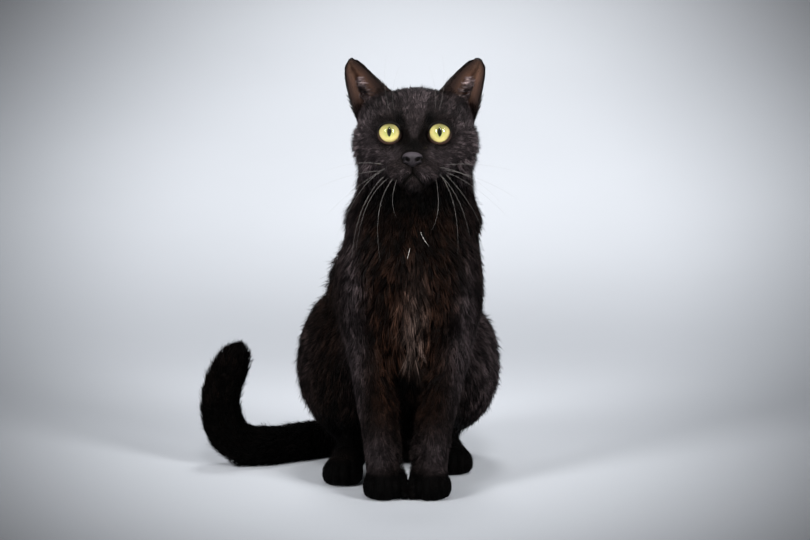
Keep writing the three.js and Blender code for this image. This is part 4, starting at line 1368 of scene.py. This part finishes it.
def spikes(name, root, normal, way, uv, length, lift, width, rings, seed, gather, material=None,
           values=None, stray=0.06):
    """A piece of len(root) tufts. Lengths in millimetres, lift in radians."""
    draw = np.random.default_rng(seed)
    n = len(root)
    way = unit(way - normal * (way * normal).sum(axis=1)[:, None])
    lock = locks(root, way, draw)
    own = draw.random((n, 4))  # the tuft's own chances,
    shared = draw.random((n, 4))[lock]  # those of its lock,
    stands = draw.random(n) < stray  # and whether it strays
    length = length * (0.7 + 0.3 * own[:, 0] + 0.22 * shared[:, 0]) * np.where(stands, 1.4, 1)
    lift = lift * (0.5 + 0.3 * own[:, 1] + 0.8 * shared[:, 1]) * np.where(stands, 1.8, 1)
    width = width * (0.75 + 0.5 * own[:, 2]) * np.where(stands, 0.65, 1)
    side = np.cross(normal, way)
    swing = wander(root, 16, seed) * 0.2 + draw.normal(0, 0.08, n) + 0.5 * (shared[:, 2] - 0.5)
    way = way * np.cos(swing)[:, None] + side * np.sin(swing)[:, None]
    side = np.cross(normal, way)
    sway = draw.normal(0, 0.10, n)

    def spot(s):
        """The tuft's middle line: 0 is its root and 1 its tip."""
        rise = np.sin(lift) * (s - 0.42 * s * s)
        return root + length[:, None] * (
            way * (s * np.cos(lift) * (1 - 0.12 * s))[:, None] + normal * (rise - SINK)[:, None]
            + side * (sway * s * s)[:, None])

    ones = np.ones(n)
    tips = spot(ones)
    pull = (tips[lock] - tips) * gather
    far = np.linalg.norm(pull, axis=1)
    pull *= np.minimum(1, PULL_MOST * length / np.maximum(far, 1e-6))[:, None]
    layers, uvs, alongs = [], [], []
    for s, wide in RING_SPOTS[rings]:
        middle = spot(ones * s) + pull * s * s
        for corner in CORNERS:
            half = (width * wide / 2)[:, None]
            layers.append(middle + half * (side * math.cos(corner) + normal * (0.55 * math.sin(corner))))
            uvs.append(uv + PATCH * np.array([math.cos(corner) * 0.45, s - 0.5]))
            alongs.append(np.full(n, s))
    layers.append(tips + pull)
    uvs.append(uv + PATCH * np.array([0, 0.5]))
    alongs.append(ones)
    per = len(layers)
    pts = np.stack(layers, axis=1).reshape(-1, 3)
    pts[:, 2] = np.maximum(pts[:, 2], OFF_FLOOR)
    all_faces = (tuft_faces(rings)[None] + (np.arange(n) * per)[:, None, None]).reshape(-1, 3)
    piece = make_mesh(name, pts, all_faces, material or body_coat)
    set_values(piece.data, "along", np.stack(alongs, axis=1).ravel())
    set_values(piece.data, "tone", np.repeat(0.35 * own[:, 3] + 0.65 * shared[:, 3], per))
    marks = dict(zip(MARKS, markings(root))) if values is None else dict(zip(MARKS, values))
    for key, value in marks.items():
        set_values(piece.data, key, np.repeat(np.broadcast_to(value, n), per))
    uv_layer = piece.data.uv_layers.new(name="OFBake")
    uv_points = np.clip(np.stack(uvs, axis=1).reshape(-1, 2), 0, 1)
    uv_layer.data.foreach_set("uv", uv_points[all_faces.ravel()].astype(np.float32).ravel())
    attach(piece, "root")
    coat_count[name] = len(all_faces)


print("triangles in a tuft:", [len(tuft_faces(rings)) for rings in range(len(RING_SPOTS))])

# %% [markdown]
# ## Sowing the coat
#
# Roots are sown over the skin like seed: every triangle of the skin gets its share by its area and by how
# closely the nearest strokes set their tufts. Nothing is sown on the rims of the lids, the lips, the nose
# or the soles. The face gets the shortest and finest tufts, each a plain spike. The breast gets the
# longest, which bend twice. Where the body has a hollow, some long hair also hangs free over it.

# %% Sow the roots
draw = np.random.default_rng(7)
corner_points = points[triangles]
middles = corner_points.mean(axis=1)
cross = np.cross(corner_points[:, 1] - corner_points[:, 0], corner_points[:, 2] - corner_points[:, 0])
areas = np.linalg.norm(cross, axis=1) / 2
_, hair_here, stroke_here = comb(middles)
bald = bare_skin(middles) > 0.45
for side in (1, -1):
    off, beyond, distance = round_eye(middles, side)
    bald |= (beyond < 7.5) & (distance < 18) & (off < 80)
bald |= (middles[:, 2] < 1.6) & (cross[:, 2] < 0)  # the soles
total = np.where(bald, 0, areas / hair_here[:, 2] ** 2).cumsum()
count = int(total[-1])
picked = np.searchsorted(total, (np.arange(count) + draw.random(count)) * total[-1] / count)
picked = np.minimum(picked, len(triangles) - 1)
first, second = draw.random(count), draw.random(count)  # a place in the triangle, along two of its edges
over = first + second > 1  # it fell beyond the third edge, and is turned back in
first, second = np.where(over, 1 - first, first), np.where(over, 1 - second, second)
weights = np.stack([1 - first - second, first, second], axis=1)[:, :, None]
roots = (corner_points[picked] * weights).sum(axis=1)
root_normals = unit((normals[triangles[picked]] * weights).sum(axis=1))
root_uv = (skin_uv[triangle_loops[picked]] * weights).sum(axis=1)
ways, hair, _ = comb(roots)
region_of = np.array(REGIONS)[stroke_here[picked]]
print("roots sown:", count)

# %% Grow the coat
MOST_TRIANGLES = 199000  # in one piece of the coat
RINGS = {"coat_face": 0, "coat_crown": 0, "coat_feet": 0, "coat_breast": 2}
GATHER = {"coat_breast": 0.5, "coat_face": 0.15, "coat_feet": 0.1}
COATS = {"coat_face": head_coat, "coat_crown": head_coat, "coat_feet": shaded_dark_coat, "coat_tail": shaded_dark_coat}


def trim(root, length):
    """Hair is shorter right round the eyes, where it would lie over them."""
    short = np.ones(len(root))
    for side in (1, -1):
        off, beyond, distance = round_eye(root, side)
        short = np.minimum(short, 0.35 + 0.65 * smooth((beyond - 2) / 22 + (distance > 24)))
    return length * short


for number, region in enumerate(sorted(set(REGIONS))):
    here = np.flatnonzero(region_of == region)
    length, lift, _, width = hair[here].T
    length = trim(roots[here], length)
    rings = RINGS.get(region, 1)
    pieces = math.ceil(len(here) / (MOST_TRIANGLES // len(tuft_faces(rings))))
    for part in range(pieces):
        own = slice(part, None, pieces)
        own_index = here[own]
        name = region if pieces == 1 else f"{region}_{part + 1}"
        spikes(name, roots[own_index], root_normals[own_index], ways[own_index], root_uv[own_index],
               length[own], np.radians(lift[own]), width[own], rings, 100 + number * 10 + part,
               GATHER.get(region, 0.3), COATS.get(region, body_coat), stray=0.13)
for name, triangles_in in coat_count.items():
    print(f"{name}: {triangles_in} triangles")

# %% Hair that hangs
PAWS_MEET = -3.2  # the line between the forepaws
HANG_LIFT = math.radians(9)


def within(values, low, high):
    return (values > low) & (values < high)


def hang(name, chosen, way, facing, length, width, seed):
    """Long hair that hangs free from the chosen roots instead of lying on the body."""
    count = len(chosen)
    way = np.column_stack([np.broadcast_to(part, count) for part in way])
    facing = unit(np.tile(np.array(facing, float), (count, 1)))
    spikes(name, roots[chosen], facing, way, root_uv[chosen], length, np.full(count, HANG_LIFT),
           np.full(count, width), 2, seed, 0.5)


# The bib ends in a point in the middle of the breast, above the hollow between the legs.
root_x, root_y, root_z = roots.T
faces_front = root_normals[:, 1] < -0.3
off_middle = np.abs(root_x + 1)
bib = np.flatnonzero((off_middle < 17) & within(root_z, 103, 134) & (root_y < 10) & faces_front)
bib_end = 76 + 1.5 * off_middle[bib]
hang("coat_bib", bib, (-0.02 * (root_x[bib] + 1), -0.1, -1.0), (0, -1, 0),
     np.clip(root_z[bib] - bib_end, 8, 38), 1.0, 301)

# Under the belly hair reaches down towards the floor.
belly = np.flatnonzero((np.abs(root_x + 6) < 24) & (root_z < 34) & within(root_y, 60, 135) & faces_front)
hang("coat_belly", belly, (0, -0.8, -0.6), (0, -0.6, 0.8), np.clip(root_z[belly] * 1.6, 8, 26), 1.1, 302)

# Between the forepaws it meets in the middle, but for a small notch over the toes.
to_middle = PAWS_MEET - root_x
inner_paw = (np.abs(to_middle) < 7) & (root_z < 60) & (np.abs(root_z - 28) > 4) & (root_y < -16)
inner_paw = np.flatnonzero(inner_paw & (root_normals[:, 0] * np.sign(to_middle) > 0.35))
reach = to_middle[inner_paw]
hang("coat_between_paws", inner_paw, (np.sign(reach), -0.35, -0.5), (0, -0.8, 0.6),
     np.clip(np.abs(reach) * 1.3 + 1.2, 1.5, 6.5), 0.55, 303)
print("coat so far:", sum(coat_count.values()), "triangles")

# %% [markdown]
# ## Hair on the ears
#
# The backs of the ears carry short black fur that runs up to the tip and makes a soft dark edge, and at
# their roots it is longer and runs into the coat of the head. Inside, only sparse fine hair grows, and from
# the inner edge long pale wisps reach across the cup.

# %% Ear hair
def ear_roots(side, count, low, high, inner, seed):
    """Random places on one face of the leaf: the point, its normal and the way up, in the head's frame."""
    pick = np.random.default_rng(seed)
    t = pick.uniform(low[0], high[0], count)
    s = pick.uniform(low[1], high[1], count)
    normal = leaf_normal(t, s, side) * (-1 if inner else 1)
    e = 0.03
    up = unit(leaf(np.minimum(t + e, 1), s, side) - leaf(np.maximum(t - e, 0), s, side))
    across = unit(leaf(t, np.minimum(s + e, 1), side) - leaf(t, np.maximum(s - e, 0), side))
    return leaf(t, s, side) + normal * half_thick(t, s)[:, None], normal, up, across, t, s


def ear_fur(name, side, count, low, high, inner, length, lift, width, seed, lean=0.0, rings=0, values=None,
            stray=0.03, material=None):
    spot, normal, up, across, t, s = ear_roots(side, count, low, high, inner, seed)
    flip = np.array([side, 1, 1])
    uv = np.stack([0.04 + 0.42 * t + (0.5 if side > 0 else 0), 0.04 + 0.9 * s], axis=1)
    way = (up + across * lean) * flip @ turn.T
    length = length * (1 - 0.65 * smooth((t - 0.75) / 0.25))
    spikes(name, from_head(spot * flip), unit(normal * flip @ turn.T), way, uv, length,
           np.full(count, math.radians(lift)), np.full(count, float(width)), rings, seed + 1, 0.1,
           material, values, stray)


# Each set of values gives rust, pale hair, grey painted highlight and black with painted shade, in turn.
DARK = (0.0, 0.0, 0.0, 0.5)
EAR_COATS = (  # name, count, from (t, s), to (t, s), inside, length, lift, width, seed, the rest
    ("back", 9000, (0.0, 0.0), (0.98, 1.0), False, 3.0, 14, 0.5, 31, dict(values=(0.0, 0.0, 0.2, 0.35))),
    ("back_base", 1800, (0.0, 0.02), (0.34, 0.98), False, 8.0, 30, 0.6, 43,
     dict(rings=1, values=(0.0, 0.0, 0.3, 0.0), material=head_coat)),
    ("tip", 500, (0.9, 0.0), (0.995, 1.0), False, 4.5, 12, 0.5, 45, dict(values=DARK)),
    ("inner_edge", 900, (0.1, 0.93), (0.98, 1.0), True, 3.2, 24, 0.36, 33, dict(lean=0.5, values=DARK)),
    ("outer_edge", 900, (0.1, 0.0), (0.98, 0.06), True, 2.6, 24, 0.36, 35, dict(lean=-0.5, values=DARK)),
    ("inside", 1500, (0.15, 0.08), (0.95, 0.92), True, 2.6, 16, 0.22, 37, dict(values=(0.8, 0.3, 0.0, 0.0))),
    ("base", 1500, (0.06, 0.05), (0.28, 0.95), True, 5.0, 38, 0.42, 41,
     dict(rings=1, values=(0.3, 0.0, 0.2, 0.3))),
    ("wisps", 460, (0.2, 0.35), (0.5, 0.8), True, 11.0, 52, 0.36, 39,
     dict(lean=-0.9, rings=2, values=(0.0, 0.6, 1.0, 0.0), material=wisp_coat)),
)
for side, name in ((1, "left"), (-1, "right")):
    for part, *sizes, rest in EAR_COATS:
        ear_fur(f"coat_ear_{name}_{part}", side, *sizes, **rest)
print("coat in all:", sum(coat_count.values()), "triangles in", len(coat_count), "pieces")

# %% [markdown]
# ## Whiskers
#
# Whiskers are single stiff hairs, thick at the root and fine as a thread at the tip. Each is drawn by its
# root on the whisker pad, a point half way and its tip, and made as a four-sided tube that tapers.

# %% Where the whiskers grow
WHISKERS = (  # root, half way and tip in the head's frame
    ((-22, -47, -22), (-46, -52, -38), (-73, -40, -62)),
    ((-24, -44, -29), (-42, -54, -56), (-51, -50, -97)),
    ((-21, -47, -31), (-38, -56, -53), (-47, -54, -90)),
    ((-17, -50, -31), (-28, -62, -58), (-27, -60, -98)),
    ((-14, -51, -32), (-17, -60, -48), (-14, -60, -62)),
    ((-25, -43, -20), (-48, -46, -19), (-74, -30, -26)),
    ((-23, -44, -25), (-52, -46, -29), (-86, -34, -42)),
    ((-26, -42, -26), (-44, -50, -42), (-64, -44, -80)),
    ((23, -46, -30), (37, -56, -50), (46, -54, -80)),
    ((26, -44, -28), (43, -54, -48), (55, -50, -70)),
    ((26, -43, -26), (50, -48, -39), (76, -38, -62)),
    ((18, -50, -32), (20, -61, -54), (15, -60, -72)),
    ((24, -44, -24), (54, -46, -32), (84, -34, -48)),
    ((27, -42, -20), (54, -44, -20), (80, -30, -25)),
    ((21, -47, -27), (33, -57, -54), (36, -58, -92)),
    ((20, -48, -22), (46, -54, -30), (70, -44, -50)),
)
BROWS = (  # on the left; the right has the same
    ((20, -35, 24), (24, -42, 44), (23, -38, 68)),
    ((17, -36, 25), (17, -44, 42), (12, -42, 60)),
)
WHITE_HAIRS = (  # on the breast, in the plan
    ((7, -41, 224), (9, -48, 219), (14, -47, 212)),
    ((-2, -44, 210), (-3, -50, 206), (-4, -51, 202)),
)
print("whiskers:", len(WHISKERS), "and on the brows:", 2 * len(BROWS))

# %% Whiskers
WHISKER_R = (0.075, 0.022)  # at the root and at the tip
BROW_R = (0.05, 0.02)
WHITE_R = (0.1, 0.04)
THREAD_RINGS = 14


def thread(line, radii):
    """A tapered four-sided tube through three points, as points and triangles."""
    t = np.linspace(0, 1, THREAD_RINGS)
    a, b, c = (np.array(p, float) for p in line)
    control = 2 * b - (a + c) / 2
    middle = a * (1 - t[:, None]) ** 2 + control * 2 * (t * (1 - t))[:, None] + c * t[:, None] ** 2
    ahead = unit(np.gradient(middle, axis=0))
    side = unit(np.cross(ahead, (0, 1, 0.3)))
    up = np.cross(side, ahead)
    r = (radii[0] + (radii[1] - radii[0]) * t)[:, None]
    corners = [middle + side * r, middle + up * r, middle - side * r, middle - up * r]
    end = 4 * (THREAD_RINGS - 1)
    faces = [(0, 2, 1), (0, 3, 2)] + ring_faces(THREAD_RINGS, 4)
    faces += [(end, end + 1, end + 2), (end, end + 2, end + 3)]
    return np.stack(corners, axis=1).reshape(-1, 3), np.array(faces)


def threads(name, lines, radii, material):
    """One piece of many threads, whose lines are in the plan."""
    pts, faces, count = [], [], 0
    for line in lines:
        p, f = thread(line, radii)
        pts.append(p)
        faces.append(f + count)
        count += len(p)
    piece = make_mesh(name, np.vstack(pts), np.vstack(faces), material)
    turn_outward(piece)
    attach(piece, "root")
    print(f"{name}: {len(piece.data.polygons)} triangles")


paint = Paint("whisker", Roughness=0.3, Specular_IOR_Level=0.6)
paint.set(paint.shader, "Base Color", paint.mix(paint.noise(60.0), rgb("4e4a48"), rgb("97928e")))
threads("whiskers", from_head(WHISKERS), WHISKER_R, paint.material)
brows = np.concatenate([np.array(BROWS) * (side, 1, 1) for side in (-1, 1)])
threads("brow_whiskers", from_head(brows), BROW_R, paint.material)
white = Paint("white_hair", Roughness=0.4, Base_Color=rgb("e8e4de"))
threads("white_hairs", WHITE_HAIRS, WHITE_R, white.material)

# %% [markdown]
# ## Studio
#
# A cat's portrait is lit softly: a tall soft box on each side, which also gives the two bright patches in
# the eyes, a small light over the camera for the face, and three on the backdrop. The backdrop is a bowl
# round the cat, flat under it and curved up all round in one long bend, so that it has no corner from any
# side. A portrait lens darkens its picture towards the corners. Here that is painted on the backdrop, by how
# far a place lies off the camera's line of sight, and only inside the picture.

# %% The backdrop's form
BOWL_FLAT, BOWL_BEND = 0.75, 3.4  # metres: the radius of its flat and of its bend
BOWL_STEPS = 96


def bowl():
    """The bowl's points in the plan, and its triangles, which face inwards."""
    profile = [(0.4, 0.0), (BOWL_FLAT, 0.0)]
    for a in np.linspace(0.05, math.pi / 2, 32):
        profile.append((BOWL_FLAT + BOWL_BEND * math.sin(a), BOWL_BEND * (1 - math.cos(a))))
    spin = np.linspace(0, 2 * math.pi, BOWL_STEPS, endpoint=False)
    pts = np.array([(r * math.cos(a), r * math.sin(a), z) for r, z in profile for a in spin] + [(0, 0, 0)])
    faces = [(a, d, b) for a, b, d in ring_faces(len(profile), BOWL_STEPS)]
    faces += [(len(pts) - 1, j, (j + 1) % BOWL_STEPS) for j in range(BOWL_STEPS)]
    return plan(pts), faces


print("the bowl is", 2 * (BOWL_FLAT + BOWL_BEND), "metres across")


# %% Backdrop
def from_camera(axis):
    """How far a place lies from the camera's place along one axis."""
    spot = paint.add("ShaderNodeSeparateXYZ", {0: paint.place()}, out=axis)
    return paint.maths("SUBTRACT", spot, camera.location[axis])


def squared_share(value, whole):
    share = paint.maths("DIVIDE", value, whole)
    return paint.maths("MULTIPLY", share, share)


def fade(value, start, end, most=1.0):
    inputs = {"Value": value, "From Min": start, "From Max": end, "To Max": most}
    return paint.add("ShaderNodeMapRange", inputs, interpolation_type="SMOOTHSTEP")


NEAREST = 0.3  # metres in front of the camera
UPWARD, ASIDE = 1.8, 0.95  # the darkening grows faster upwards and downwards than to the sides
paint = Paint("backdrop", Roughness=0.85, Specular_IOR_Level=0.2)
across, behind, above = (from_camera(axis) for axis in range(3))
sine, cosine = math.sin(CAMERA_DOWN), math.cos(CAMERA_DOWN)
away = paint.maths("SUBTRACT", paint.maths("MULTIPLY", behind, cosine), paint.maths("MULTIPLY", above, sine))
rise = paint.maths("ADD", paint.maths("MULTIPLY", behind, sine), paint.maths("MULTIPLY", above, cosine))
picture_wide = camera_data.sensor_width / 2 / LENS
half_wide = paint.maths("MULTIPLY", paint.maths("MAXIMUM", away, NEAREST), picture_wide)
upward = paint.maths("MULTIPLY", squared_share(rise, half_wide), UPWARD)
off_sight = paint.maths("SQRT", paint.maths("MULTIPLY_ADD", squared_share(across, half_wide), ASIDE, upward))
grade = paint.maths("MULTIPLY", fade(off_sight, 0.55, 1.6, 0.88), fade(off_sight, 1.75, 1.35))
paper = paint.mix(paint.noise(3.0), rgb("b4b7bc"), rgb("b8bbc0"))
paint.set(paint.shader, "Base Color", paint.mix(grade, paper, rgb("000000")))
backdrop = make_mesh("backdrop", *bowl(), paint.material)
backdrop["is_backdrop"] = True
print("backdrop:", len(backdrop.data.polygons), "triangles")


# %% Lights
def hung_light(name, kind, place, target, power):
    """A light that hangs at a place and looks at a target."""
    light = bpy.data.lights.new(name, kind)
    light.energy = power
    lamp = bpy.data.objects.new(name, light)
    lamp.location = place
    lamp.rotation_euler = (Vector(target) - Vector(place)).to_track_quat("-Z", "Y").to_euler()
    scene.collection.objects.link(lamp)
    return light


def soft_box(name, place, target, size, power):
    """A tall lit screen; a grid in front of it keeps its light within 60 degrees."""
    light = hung_light(name, "AREA", place, target, power)
    light.shape = "RECTANGLE"
    light.size, light.size_y = size
    light.spread = math.radians(60)


def soft_spot(name, place, target, wide, radius, power):
    """A round light whose pool fades all the way from its middle to its edge."""
    light = hung_light(name, "SPOT", place, target, power)
    light.spot_size = math.radians(wide)
    light.spot_blend = 1.0
    light.shadow_soft_size = radius


FACE = tuple(row((3, -40, 290)))
BREAST = (0, 0, 0.28)
soft_box("box_left", (1.2, -1.35, 0.76), BREAST, (0.5, 1.4), 9)
soft_box("box_right", (-1.15, -1.35, 0.76), BREAST, (0.5, 1.4), 9)
soft_spot("head_light", (0.15, -1.35, 1.4), FACE, 17, 0.3, 140)
soft_spot("wall", (0.15, 1.2, 2.5), (0.2, 3.6, 1.1), 80, 0.3, 215)
soft_spot("sweep", (0.1, 0.9, 2.5), (0.15, 2.4, 0.4), 75, 0.4, 285)
soft_spot("floor_behind", (0.1, 0.6, 2.5), (0.1, 0.9, 0.0), 75, 0.3, 120)
world = bpy.data.worlds.new("studio")
scene.world = world
world.use_nodes = True
world.node_tree.nodes["Background"].inputs["Color"].default_value = (0.9, 0.94, 1.0, 1)
world.node_tree.nodes["Background"].inputs["Strength"].default_value = 0.36
scene.view_settings.view_transform = "Standard"

# %% [markdown]
# ## Finishing
#
# Last, the finished cat is measured against the frame's box, and how far the fur stands past it is printed.

# %% Measure and finish
model_box = [list(corner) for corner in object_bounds()]
grown = [[round((m - c) / MM, 1) for m, c in zip(*pair)] for pair in zip(model_box, cad_box)]
print("millimetres past the frame's box:", grown)
